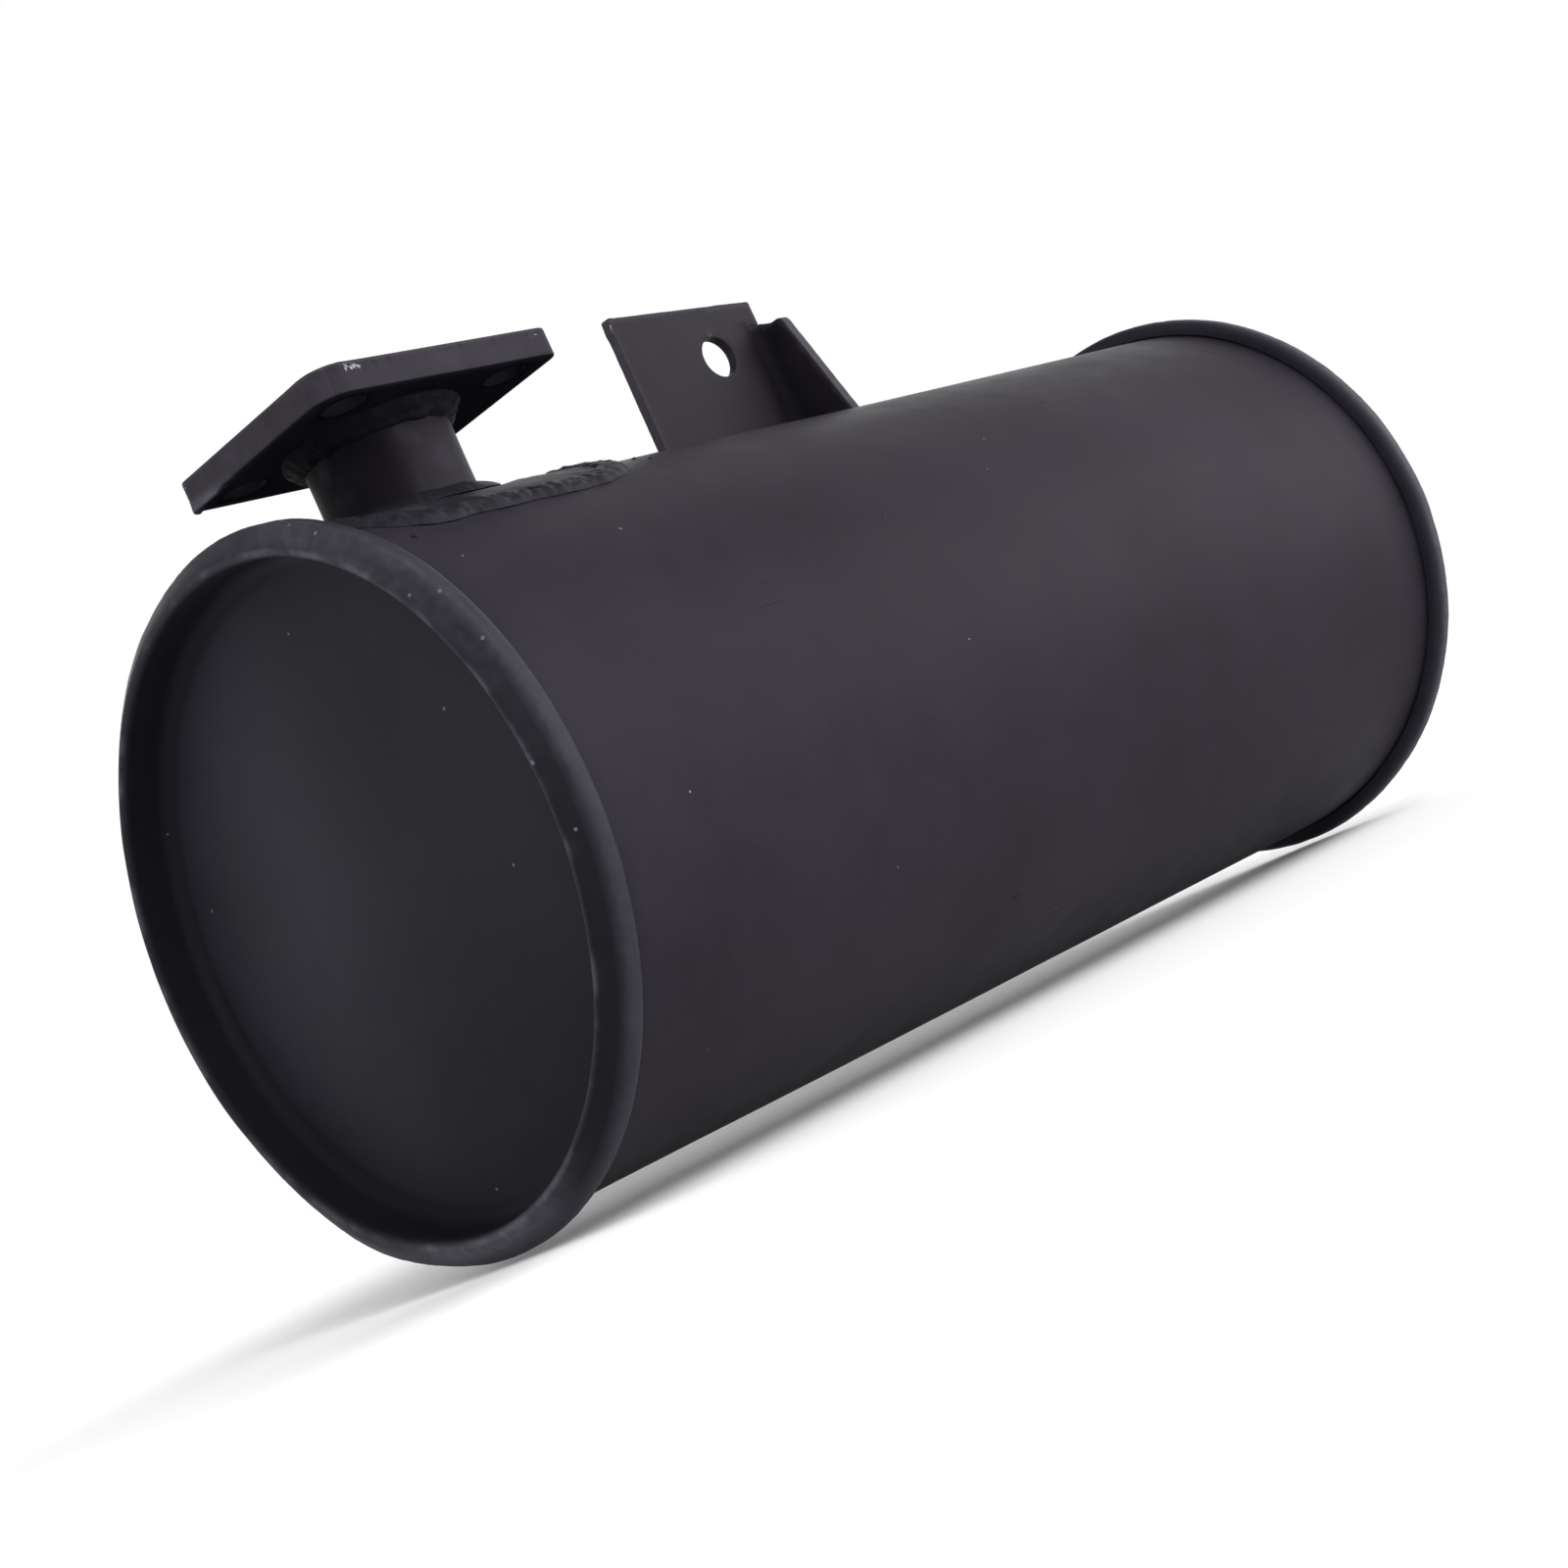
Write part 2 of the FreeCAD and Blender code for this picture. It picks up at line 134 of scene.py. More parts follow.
def noise(points, size, seed=0):
    """Smooth values from -1 to 1 whose hills are about one size apart."""
    cell = np.asarray(points, float) / size + 17.31 * seed
    base = np.floor(cell).astype(int)
    part = cell - base
    fade = part * part * (3 - 2 * part)
    total = np.zeros(len(cell))
    for corner in np.ndindex(2, 2, 2):
        place = (base + corner) % 256
        lattice = HASH[(HASH[(HASH[place[:, 0]] + place[:, 1]) % 256] + place[:, 2]) % 256]
        total += VALUES[lattice] * np.prod(np.where(corner, fade, 1 - fade), axis=1)
    return total


def rough(points, size, seed=0):
    """Noise with three sizes of hill."""
    return sum(noise(points, size / 2**i, seed + i) / 1.6**i for i in range(3)) / 1.6


def ease(low, high, value):
    """Rises smoothly from 0 at low to 1 at high."""
    part = np.clip((value - low) / (high - low), 0, 1)
    return part * part * (3 - 2 * part)


def hump(value, centre, reach):
    """1 at the centre, and falls smoothly to almost 0 beyond its reach."""
    return np.exp(-(((value - centre) / reach) ** 2))


def round_shell(x, angle, radius):
    """Points at an angle round the shell's axis."""
    across, up = radius * np.sin(angle), AXIS_Z + radius * np.cos(angle)
    return np.stack(np.broadcast_arrays(x, across, up), axis=-1)


def round_pipe(z, angle, radius):
    """Points at an angle round the inlet pipe's axis."""
    along, across = PIPE_X + radius * np.cos(angle), radius * np.sin(angle)
    return np.stack(np.broadcast_arrays(along, across, z), axis=-1)


def angle_of(points):
    return np.arctan2(points[:, 1], points[:, 2] - AXIS_Z)


def normal_at(angle):
    """The way out from the shell's axis at an angle."""
    return np.stack([0 * angle, np.sin(angle), np.cos(angle)], axis=-1)


def tangent_at(angle):
    """The way round the shell at an angle."""
    return np.stack([0 * angle, np.cos(angle), -np.sin(angle)], axis=-1)


def unit(vectors):
    return vectors / np.linalg.norm(vectors, axis=1)[:, None]


# Materials


def feed(tree, socket, value):
    """Links a value that is a socket, and sets any other."""
    if isinstance(value, bpy.types.NodeSocket):
        tree.links.new(value, socket)
    else:
        socket.default_value = value


def add(tree, kind, inputs=None, **settings):
    """Adds a node with its inputs and settings."""
    made = tree.nodes.new(kind)
    for name, value in settings.items():
        setattr(made, name, value)
    for name, value in (inputs or {}).items():
        feed(tree, made.inputs[name], value)
    return made


def maths(tree, operation, *values):
    return add(tree, "ShaderNodeMath", dict(enumerate(values)), operation=operation).outputs[0]


def times(tree, first, second):
    return maths(tree, "MULTIPLY", first, second)


def plus(tree, first, second):
    return maths(tree, "ADD", first, second)


def spread(tree, value, low, high, new_low=0.0, new_high=1.0):
    """Stretches a value from one range to another, and stops at the ends."""
    inputs = {"Value": value, "From Min": low, "From Max": high, "To Min": new_low, "To Max": new_high}
    return add(tree, "ShaderNodeMapRange", inputs).outputs[0]


def blend(tree, share, first, second):
    """Mixes two colours. A mix node's colours are its inputs 6 and 7, and its output 2."""
    inputs = {0: share, 6: first, 7: second}
    return add(tree, "ShaderNodeMix", inputs, data_type="RGBA").outputs[2]


def attribute(tree, name):
    """A value that the mesh holds at its points."""
    return add(tree, "ShaderNodeAttribute", attribute_name=name).outputs["Fac"]


def noise_node(tree, where, scale, detail=3.0, roughness=0.55):
    """Noise with about this many hills per metre."""
    inputs = {"Vector": where, "Scale": scale, "Detail": detail, "Roughness": roughness}
    return add(tree, "ShaderNodeTexNoise", inputs).outputs["Fac"]


def bump(tree, height, strength, distance, below=None):
    inputs = {"Height": height, "Strength": strength, "Distance": distance}
    if below is not None:
        inputs["Normal"] = below
    return add(tree, "ShaderNodeBump", inputs).outputs[0]


def start_material(name):
    material = bpy.data.materials.new(name)
    material.use_nodes = True
    tree = material.node_tree
    tree.nodes.clear()
    shader = tree.nodes.new("ShaderNodeBsdfPrincipled")
    output = tree.nodes.new("ShaderNodeOutputMaterial")
    tree.links.new(shader.outputs[0], output.inputs[0])
    where = tree.nodes.new("ShaderNodeTexCoord").outputs["Object"]
    return material, tree, shader, where


def rgb(red, green, blue):
    return (red, green, blue, 1.0)


def shade(colour, factor):
    return rgb(*[factor * c for c in colour])


# The tint of lighter places: rubbed paint and dust, and painted highlights
PALE_TINT = (0.070, 0.066, 0.079)
DUST = rgb(0.30, 0.29, 0.29)
CHIP = rgb(0.30, 0.29, 0.31)
DUST_GRAINS = 150.0
DUST_SIZE = 0.055


def paint(name, colour, roughness, gloss, grain=1.0, lumps=0.0, dust=1.0, marks=()):
    """Matte high-temperature black: clouded, finely pitted, dusty, chipped and rubbed where the mesh says.

    The mesh's "pale" value says where the paint is rubbed or dusty and where a highlight is painted, "bare"
    where it is chipped to the steel, and "dark_and_shade" where it is dark: pits, soot, a darker tone and
    painted shade. Each mark is a pale or dark spot at a place on the surface.
    """
    material, tree, shader, where = start_material(name)
    cloud = noise_node(tree, where, 11.0)
    mottle = noise_node(tree, where, 60.0, 5.0)
    blotch = noise_node(tree, where, 330.0, 5.0)
    fine = noise_node(tree, where, 2100.0)

    clouded = plus(tree, times(tree, cloud, 0.6), times(tree, mottle, 0.4))
    look = blend(tree, spread(tree, clouded, 0.36, 0.64), shade(colour, 0.78), shade(colour, 1.24))
    look = blend(tree, spread(tree, fine, 0.3, 0.75, 0.0, 0.35), look, shade(colour, 1.7))

    dark_and_shade = attribute(tree, "dark_and_shade")
    broken = spread(tree, blotch, 0.34, 0.66, 0.62, 1.0)
    # Lighter where the mesh asks: rubbed paint and dust, and painted highlights
    rubbed = times(tree, attribute(tree, "pale"), broken)
    for place, turn, size, strength in marks:
        inputs = {"Vector": where, "Location": place, "Rotation": turn, "Scale": size}
        spot = add(tree, "ShaderNodeMapping", inputs, vector_type="TEXTURE").outputs[0]
        far = add(tree, "ShaderNodeVectorMath", {0: spot}, operation="LENGTH").outputs["Value"]
        edge = plus(tree, far, times(tree, maths(tree, "SUBTRACT", blotch, 0.5), 1.2))
        here = spread(tree, edge, 0.55, 1.0, abs(strength), 0.0)
        if strength > 0:
            rubbed = plus(tree, rubbed, here)
        else:
            dark_and_shade = plus(tree, dark_and_shade, here)
    # Darker, towards a quarter of the colour, where the mesh asks: pits, soot, a darker tone and painted
    # shade
    look = blend(tree, times(tree, dark_and_shade, 0.8), look, shade(colour, 0.25))
    pale_colour = rgb(*[tint + 1.6 * c for tint, c in zip(PALE_TINT, colour)])
    look = blend(tree, maths(tree, "MINIMUM", rubbed, 1.0), look, pale_colour)

    cells = add(tree, "ShaderNodeTexVoronoi", {"Vector": where, "Scale": DUST_GRAINS})
    chosen = add(tree, "ShaderNodeSeparateColor", {"Color": cells.outputs["Color"]})
    size = spread(tree, chosen.outputs[0], 0.90, 1.0, 0.0, DUST_SIZE * dust)
    specks = maths(tree, "LESS_THAN", cells.outputs["Distance"], size)
    look = blend(tree, times(tree, specks, 0.55), look, DUST)

    chips = noise_node(tree, where, 900.0, 4.0, 0.6)
    missing = maths(tree, "SUBTRACT", plus(tree, attribute(tree, "bare"), chips), 1.0)
    chipped = spread(tree, missing, 0.0, 0.12)
    look = blend(tree, times(tree, chipped, 0.85), look, CHIP)
    tree.links.new(look, shader.inputs["Base Color"])
    tree.links.new(times(tree, chipped, 0.25), shader.inputs["Metallic"])

    worn = plus(tree, times(tree, rubbed, 0.12), times(tree, dark_and_shade, 0.15))
    varied = spread(tree, mottle, 0.3, 0.7, roughness - 0.05, roughness + 0.06)
    varied = plus(tree, varied, times(tree, maths(tree, "SUBTRACT", fine, 0.5), 0.14))
    tree.links.new(plus(tree, varied, worn), shader.inputs["Roughness"])
    shader.inputs["Specular IOR Level"].default_value = gloss
    shader.inputs["Specular Tint"].default_value = rgb(0.97, 0.88, 1.0)

    surface = bump(tree, fine, 0.30 * grain, 0.00006)
    surface = bump(tree, blotch, 0.25 * grain, 0.00012, surface)
    if lumps:
        surface = bump(tree, chips, 0.5 * lumps, 0.0003, surface)
    surface = bump(tree, times(tree, chipped, -1.0), 0.5, 0.00012, surface)
    tree.links.new(surface, shader.inputs["Normal"])
    return material


def dull_steel(name):
    """Aluminised sheet inside the silencer: rolled streaks, heat stain and a little soot."""
    material, tree, shader, where = start_material(name)
    along = add(tree, "ShaderNodeMapping", {"Vector": where, "Scale": (60.0, 1400.0, 1400.0)}).outputs[0]
    streaks = noise_node(tree, along, 1.0, 4.0)
    stain = noise_node(tree, where, 28.0, 5.0)
    soot = noise_node(tree, where, 130.0, 6.0, 0.65)
    look = blend(tree, streaks, rgb(0.34, 0.33, 0.32), rgb(0.50, 0.49, 0.48))
    look = blend(tree, spread(tree, stain, 0.45, 0.72, 0.0, 0.6), look, rgb(0.36, 0.27, 0.17))
    look = blend(tree, spread(tree, soot, 0.52, 0.75, 0.0, 0.7), look, rgb(0.05, 0.045, 0.04))
    tree.links.new(look, shader.inputs["Base Color"])
    tree.links.new(spread(tree, soot, 0.45, 0.75, 0.85, 0.15), shader.inputs["Metallic"])
    tree.links.new(spread(tree, streaks, 0.3, 0.7, 0.32, 0.55), shader.inputs["Roughness"])
    surface = bump(tree, streaks, 0.3, 0.00005)
    tree.links.new(bump(tree, soot, 0.3, 0.0001, surface), shader.inputs["Normal"])
    return material


def mark(x, degrees, radius, length, width, strength):
    """A spot as paint() takes it: its place, turn and half sizes, and its strength, negative where dark."""
    angle = math.radians(degrees)
    place = round_shell(x, angle, radius) * MM
    return tuple(place), (-angle, 0.0, 0.0), tuple(v * MM / 2 for v in (length, width, width)), strength


SHELL_MARKS = [
    mark(189.6, -45.0, SHELL_RADIUS, 2.6, 0.9, -0.8),
    mark(196.5, -47.0, SHELL_RADIUS, 1.6, 0.7, -0.5),
    mark(87.9, -138.0, SHELL_RADIUS, 2.8, 1.0, -0.8),
    mark(20.0, -74.0, SHELL_RADIUS, 12.0, 0.5, -0.6),
    mark(24.0, -70.0, SHELL_RADIUS, 7.0, 0.4, -0.5),
    mark(0.5, -50.6, SHELL_RADIUS, 1.4, 1.2, 0.9),
]
# Dust and chips on the front cap: angle, distance inward from the rim's plane, radius, size
CAP_MARKS = [
    mark(FRONT_RIM_X + inward, degrees, radius, size, size, 1.6)
    for degrees, inward, radius, size in (
        (-57.0, -2.4, 93.7, 1.3), (-31.0, -3.3, 92.4, 1.1), (-24.5, -2.5, 93.5, 0.9),
        (-53.5, -5.4, 89.6, 1.0), (-67.0, -2.7, 93.2, 1.0), (-86.0, -6.7, 88.1, 1.6),
        (-97.0, -4.5, 90.7, 1.0), (-138.5, -6.9, 88.0, 1.3),
        (-7.0, CAP_RECESS, 67.6, 0.9), (-59.5, CAP_RECESS, 59.3, 1.0), (175.5, CAP_RECESS, 78.3, 1.0),
        (-101.0, CAP_RECESS, 51.9, 1.0), (75.5, CAP_RECESS, 74.2, 1.0),
    )
]

BLACK = (0.0158, 0.0138, 0.0186)
CAP_BLACK = (0.0147, 0.0139, 0.0190)
# A darker black for the faces under the flange: painted shade
UNDERSIDE_SHADE_BLACK = [0.8 * c for c in CAP_BLACK]
# A darker black for the bead under the flange: painted shade
WELD_SHADE_BLACK = [0.9 * c for c in CAP_BLACK]
NECK_BLACK = [0.9 * c for c in BLACK]
BRACKET_BLACK = [0.81 * c for c in BLACK]
shell_paint = paint("shell_paint", BLACK, roughness=0.50, gloss=0.035, marks=SHELL_MARKS)
cap_paint = paint("cap_paint", CAP_BLACK, roughness=0.50, gloss=0.08, marks=CAP_MARKS)
flange_paint = paint("flange_paint", BLACK, roughness=0.55, gloss=0.06, grain=1.4, lumps=0.4)
# Painted shade for the flange's underside: darker and without gloss
flange_underside_shade = paint("flange_underside_shade", UNDERSIDE_SHADE_BLACK, roughness=0.7, gloss=0.0, grain=1.4, dust=0.6)
neck_paint = paint("neck_paint", NECK_BLACK, roughness=0.52, gloss=0.05, grain=1.2)
weld_paint = paint("weld_paint", CAP_BLACK, roughness=0.46, gloss=0.10, grain=1.5, lumps=0.8, dust=0.6)
# Painted shade for the bead under the flange: darker and with little gloss
weld_shade_paint = paint("weld_shade_paint", WELD_SHADE_BLACK, roughness=0.62, gloss=0.03, grain=1.5, lumps=0.8, dust=0.4)
bracket_paint = paint("bracket_paint", BRACKET_BLACK, roughness=0.50, gloss=0.06, grain=1.2)
outlet_paint = paint("outlet_paint", BLACK, roughness=0.50, gloss=0.075, grain=1.2)
inner_steel = dull_steel("inner_steel")


# Meshes


def put(name, data):
    """A new object in the scene."""
    made = bpy.data.objects.new(name, data)
    bpy.context.scene.collection.objects.link(made)
    return made


def build(name, points, faces, material, stands_for, values, sharp=35.0):
    """Makes one piece from points in millimetres, and ties it to the part.

    Values are the numbers at its points that its paint reads. Edges over the sharp angle stay sharp.
    """
    mesh = bpy.data.meshes.new(name)
    mesh.from_pydata((np.asarray(points) * MM).tolist(), [], [list(map(int, f)) for f in faces])
    shape = bmesh.new()
    shape.from_mesh(mesh)
    bmesh.ops.recalc_face_normals(shape, faces=shape.faces)
    shape.to_mesh(mesh)
    shape.free()
    mesh.shade_smooth()
    mesh.set_sharp_from_angle(angle=math.radians(sharp))
    for key, numbers in values.items():
        held = mesh.attributes.new(key, "FLOAT", "POINT")
        held.data.foreach_set("value", np.clip(numbers, 0, 1).astype(np.float32))
    mesh.materials.append(material)
    piece = put(name, mesh)
    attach(piece, "root")
    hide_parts(*stands_for)
    return piece


def grid_faces(rows, columns, close_rows, close_columns):
    """Quads over points that lie in rows. A closed direction joins its end to its start."""
    down = np.arange(rows if close_rows else rows - 1)
    across = np.arange(columns if close_columns else columns - 1)
    i, j = [a.ravel() for a in np.meshgrid(down, across, indexing="ij")]
    k, m = (i + 1) % rows, (j + 1) % columns
    return np.stack([i * columns + j, k * columns + j, k * columns + m, i * columns + m], axis=1)


def divide(line, step):
    """Adds points on a line's long runs."""
    finer = []
    for first, second in zip(line[:-1], line[1:]):
        count = max(1, math.ceil(np.linalg.norm(second - first) / step))
        finer += [first + (second - first) * k / count for k in range(count)]
    return np.array(finer + [line[-1]])


def turn_between(before, after):
    return math.atan2(before[0] * after[1] - before[1] * after[0], before @ after)


def arc(corner, before, turn, radius, count, shift=0.0):
    """Points round a corner of a line, or round it at a distance to the line's left."""
    side = math.copysign(1, turn)
    normal = np.array([-before[1], before[0]])
    centre = corner - before * radius * math.tan(abs(turn) / 2) + normal * side * radius
    points = []
    for k in range(count + 1):
        c, s = math.cos(turn * k / count), math.sin(turn * k / count)
        turned = np.array([c * normal[0] - s * normal[1], s * normal[0] + c * normal[1]])
        points.append(centre - turned * (side * radius - shift))
    return points


def sheet_side(path, radii, shift, step):
    """Points along one side of a bent sheet, at a distance from its middle line."""
    path = np.array(path, float)
    runs = unit(np.diff(path, axis=0))
    normals = np.stack([-runs[:, 1], runs[:, 0]], axis=1)
    line = [path[0] + normals[0] * shift]
    for i, radius in enumerate(radii):
        turn = turn_between(runs[i], runs[i + 1])
        count = max(2, math.ceil(abs(turn) / math.radians(13)))
        line += arc(path[i + 1], runs[i], turn, radius, count, shift)
    line.append(path[-1] + normals[-1] * shift)
    return divide(np.array(line), step)


def sheet_outline(path, radii, thickness, step):
    """The closed outline of a bent sheet's cross-section."""
    out = sheet_side(path, radii, thickness / 2, step)
    back = sheet_side(path, radii, -thickness / 2, step)[::-1]
    return np.concatenate([out, back])


def spin(outline, steps, place):
    """Turns an outline round an axis. It is closed, or starts and ends on the axis."""
    on_axis = outline[0, 1] < 1e-6
    rings = outline[1:-1] if on_axis else outline
    angles = np.linspace(-math.pi, math.pi, steps, endpoint=False)
    points = place(rings[:, :1], angles[None, :], rings[:, 1:]).reshape(-1, 3)
    faces = grid_faces(len(rings), steps, not on_axis, True).tolist()
    if on_axis:
        ends = place(outline[[0, -1], 0], 0.0, outline[[0, -1], 1])
        points = np.concatenate([points, ends])
        last = (len(rings) - 1) * steps
        for j in range(steps):
            k = (j + 1) % steps
            faces.append([len(points) - 2, k, j])
            faces.append([len(points) - 1, last + j, last + k])
    return points, faces


def round_the_shell(points, outward, along=0.0):
    """Moves points away from the shell's axis, and along it."""
    angle = angle_of(points)
    moved = points.copy()
    moved[:, 0] += along
    moved[:, 1] += outward * np.sin(angle)
    moved[:, 2] += outward * np.cos(angle)
    return moved


def shell_wave(points):
    """How far the rolled sheet stands off a true cylinder."""
    return 0.22 * noise(points, 95.0, 1) + 0.07 * noise(points, 34.0, 2)


def shell():
    middle = SHELL_RADIUS - SHEET / 2
    front, rear = FRONT_RIM_X - HOOK_SETBACK, REAR_RIM_X + HOOK_SETBACK
    path = [(front, HOOK_RADIUS), (front, middle), (rear, middle), (rear, HOOK_RADIUS)]
    outline = sheet_outline(path, [HOOK_BEND, HOOK_BEND], SHEET, step=3.2)
    points, faces = spin(outline, SHELL_STEPS, round_shell)
    inside = ease(0, 12, points[:, 0] - FRONT_RIM_X) * ease(0, 12, REAR_RIM_X - points[:, 0])
    points = round_the_shell(points, shell_wave(points) * inside)
    # Darker next to both rims: painted shade in the crevice between the shell and each rim
    edge = hump(points[:, 0], FRONT_RIM_X + 3, 3.0) + hump(points[:, 0], REAR_RIM_X - 3, 3.0)
    values = {"dark_and_shade": 0.7 * edge, "pale": 0.03 * ease(-0.4, 0.8, rough(points, 60.0, 3))}
    build("shell_skin", points, faces, shell_paint, ["shell"], values)


def cap_outline(rim_x, outward, hole):
    """The cross-section of an end cap. Outward is -1 at the front end and 1 at the rear end."""
    wall = SHELL_RADIUS - 1.5 * SHEET
    top = RIM_RADIUS - SHEET / 2
    floor = CAP_RECESS + SHEET / 2
    path = [
        (floor, hole),
        (floor, wall),
        (-RIM_OVERHANG, wall),
        (RIM_SLOPE - RIM_OVERHANG, top),
        (CURL_REACH, top),
        (CURL_REACH, SHELL_RADIUS + CURL_GAP),
    ]
    placed = [(rim_x - outward * x, radius) for x, radius in path]
    return sheet_outline(placed, CAP_BENDS, SHEET, step=2.6)


def cap(name, node, rim_x, outward, hole, bulges, burrs, seed):
    """A rolled end cap whose rim is slightly uneven, as a seaming roller leaves it.

    A bulge is the angles where it starts, is highest and ends, and its rise. A burr is its angle, its
    place across the rim and its rise.
    """
    points, faces = spin(cap_outline(rim_x, outward, hole), RIM_STEPS, round_shell)
    radians = angle_of(points)
    angle = np.degrees(radians)
    radius = np.hypot(points[:, 1], points[:, 2] - AXIS_Z)
    out = (points[:, 0] - rim_x) * outward
    rim = ease(SHELL_RADIUS - 5, SHELL_RADIUS + 1, radius)
    ring = round_shell(0.0, radians, SHELL_RADIUS)
    push = rim * (0.30 * noise(ring, 38.0, seed) + 0.14 * noise(ring, 13.0, seed + 1))
    along = rim * (0.22 * noise(ring, 46.0, seed + 2) + 0.10 * noise(ring, 11.0, seed + 3))
    for low, peak, high, rise in bulges:
        push += rim * rise * ease(low, peak, angle) * (1 - ease(peak, high, angle))
    dished = 0.35 * noise(points, 70.0, seed + 4) * ease(0, 30, SHELL_RADIUS - radius)
    along += outward * (1 - rim) * dished
    outer = ease(RIM_RADIUS - 2.6, RIM_RADIUS - 0.4, radius) * ease(-3.5, -0.5, out)
    rolled = hump(out, RIM_OVERHANG - 0.9, 0.55) * (0.6 + 0.5 * noise(ring, 6.0, seed + 9))
    push -= 0.35 * rim * rolled
    push += outer * 0.10 * rough(points, 3.0, seed + 5)
    bare = np.zeros(len(points))
    for at, across, rise in burrs:
        spot = hump(angle, at, 0.45) * hump(out, across, 0.8) * ease(RIM_RADIUS - 4, RIM_RADIUS - 1, radius)
        push += rise * spot
        bare += 0.55 * spot
    points = round_the_shell(points, push, along)

    # A pale line along the lip, in patches: rubbed paint, and a painted highlight on the lip's edge
    lip = hump(out, RIM_OVERHANG + 0.3, 0.8) * hump(radius, SHELL_RADIUS - 1.9, 1.2)
    # On the gusset's side the rim's slope is darker: painted shade
    right = ease(-35.0, -55.0, angle) * ease(-165.0, -150.0, angle)
    slope = ease(SHELL_RADIUS - 2.5, SHELL_RADIUS, radius) * ease(1.5, 3.0, out)
    # Darker in the groove behind the lip, wider on the gusset's side: painted shade
    groove_shade = slope * hump(out, RIM_OVERHANG - 0.9 - 0.6 * right, 0.8 + 0.7 * right)
    patches = ease(-0.1, 0.5, rough(points, 9.0, seed + 6))
    # The recess wall darker on the side away from the gusset: painted shade
    wall = 1 - ease(SHELL_RADIUS - 3.2, SHELL_RADIUS - 1.6, radius)
    left_wall_shade = wall * ease(SHELL_RADIUS - 10, SHELL_RADIUS - 4, radius) * ease(-0.5, 0.3, np.sin(radians))
    # The disc darker towards the gusset's side and towards the bottom, with a little noise
    across = points[:, 1] + 12 * noise(points, 60.0, seed + 11)
    up = points[:, 2] - AXIS_Z + 12 * noise(points, 50.0, seed + 12)
    disc_darkening = 0.08 + 0.34 * ease(55, -15, across) + 0.28 * ease(15, -75, up)
    disc_darkening = disc_darkening + 0.18 * noise(points, 42.0, seed + 13)
    # Paler along the top of the rim, in streaks round it: rubbed streaks and a painted highlight
    streaks = np.stack([out, radius, 0.06 * RIM_RADIUS * radians], axis=1)
    top_highlight = rim * hump(angle, -30.0, 42.0) * ease(0, 2, out)
    top_highlight = top_highlight * (0.75 + 0.25 * noise(streaks, 0.5, seed + 10))
    # Paler where the lip runs along the bottom: a painted highlight
    bottom_highlight = rim * hump(np.abs(angle), 174.0, 15.0) * hump(out, RIM_OVERHANG - 0.5, 2.2)
    # The outer band paler, all round on the rear cap and on the gusset's side of the front cap: a painted
    # highlight
    outer_highlight = 0.50 if outward > 0 else 0.10 * right
    rubbed = 0.06 * ease(0.05, 0.6, rough(points, 5.0, seed + 7))
    values = {
        "pale": 0.90 * lip * patches + (rubbed + outer_highlight) * outer + 0.42 * top_highlight + 0.85 * bottom_highlight,
        "dark_and_shade": 0.70 * slope * right + 0.9 * groove_shade + 0.9 * left_wall_shade
        + wall * disc_darkening * ease(SHELL_RADIUS, SHELL_RADIUS - 12, radius),
        "bare": np.clip(bare, 0, 1) + 0.44 * outer * ease(0.35, 0.8, rough(points, 14.0, seed + 8)),
    }
    build(name, points, faces, cap_paint, [node], values)


def tube(name, node, outline, place, material, dents, seed):
    """A tube with slight dents. The inlet pipe is painted darker on the side that faces the front rim:
    painted shade.
    """
    points, faces = spin(outline, TUBE_STEPS, place)
    away = points - place(outline[:, :1].mean(), 0.0, 0.0)
    away[:, 2 if place is round_pipe else 0] = 0
    points = points + unit(away) * (dents * noise(points, 16.0, seed))[:, None]
    values = {"pale": 0.12 * ease(0.2, 0.7, rough(points, 8.0, seed + 1))}
    if place is round_pipe:
        # Darker on the side that faces the front rim: painted shade
        across = 0.7 * (points[:, 0] - PIPE_X - points[:, 1])
        values["dark_and_shade"] = ease(9.5, 0.5, across + 3 * noise(points, 12.0, seed + 4))
    build(name, points, faces, material, [node], values)


def tube_outline(start, end, outer, step):
    """A tube's cross-section with its outer corners eased."""
    inner = outer - PIPE_WALL
    line = [
        (start, inner),
        (end, inner),
        (end, outer - TUBE_EDGE),
        (end - 0.3 * TUBE_EDGE, outer - 0.3 * TUBE_EDGE),
        (end - TUBE_EDGE, outer),
        (start + TUBE_EDGE, outer),
        (start, outer - TUBE_EDGE),
        (start, inner),
    ]
    return divide(np.array(line, float), step)[:-1]


def outlet_outline():
    outline = tube_outline(outlet_low[0], outlet_high[0], PIPE_RADIUS, step=0.5)
    outside = outline[:, 1] > PIPE_RADIUS - 0.01
    outline[outside, 1] += STOP_BEAD_RISE * hump(outline[outside, 0], STOP_BEAD_X, 1.3)
    return outline


# Plates


def loop_out(loop):
    """The direction out of the material at each point of a loop that runs with the material on its left."""
    run = np.roll(loop, -1, axis=0) - np.roll(loop, 1, axis=0)
    run = unit(run)
    return np.stack([run[:, 1], -run[:, 0]], axis=1)


def circle(centre, radius, count):
    """A hole's outline, which runs the opposite way to an outer outline."""
    angle = -np.linspace(0, 2 * math.pi, count, endpoint=False)
    return np.array(centre) + radius * np.stack([np.cos(angle), np.sin(angle)], axis=1)


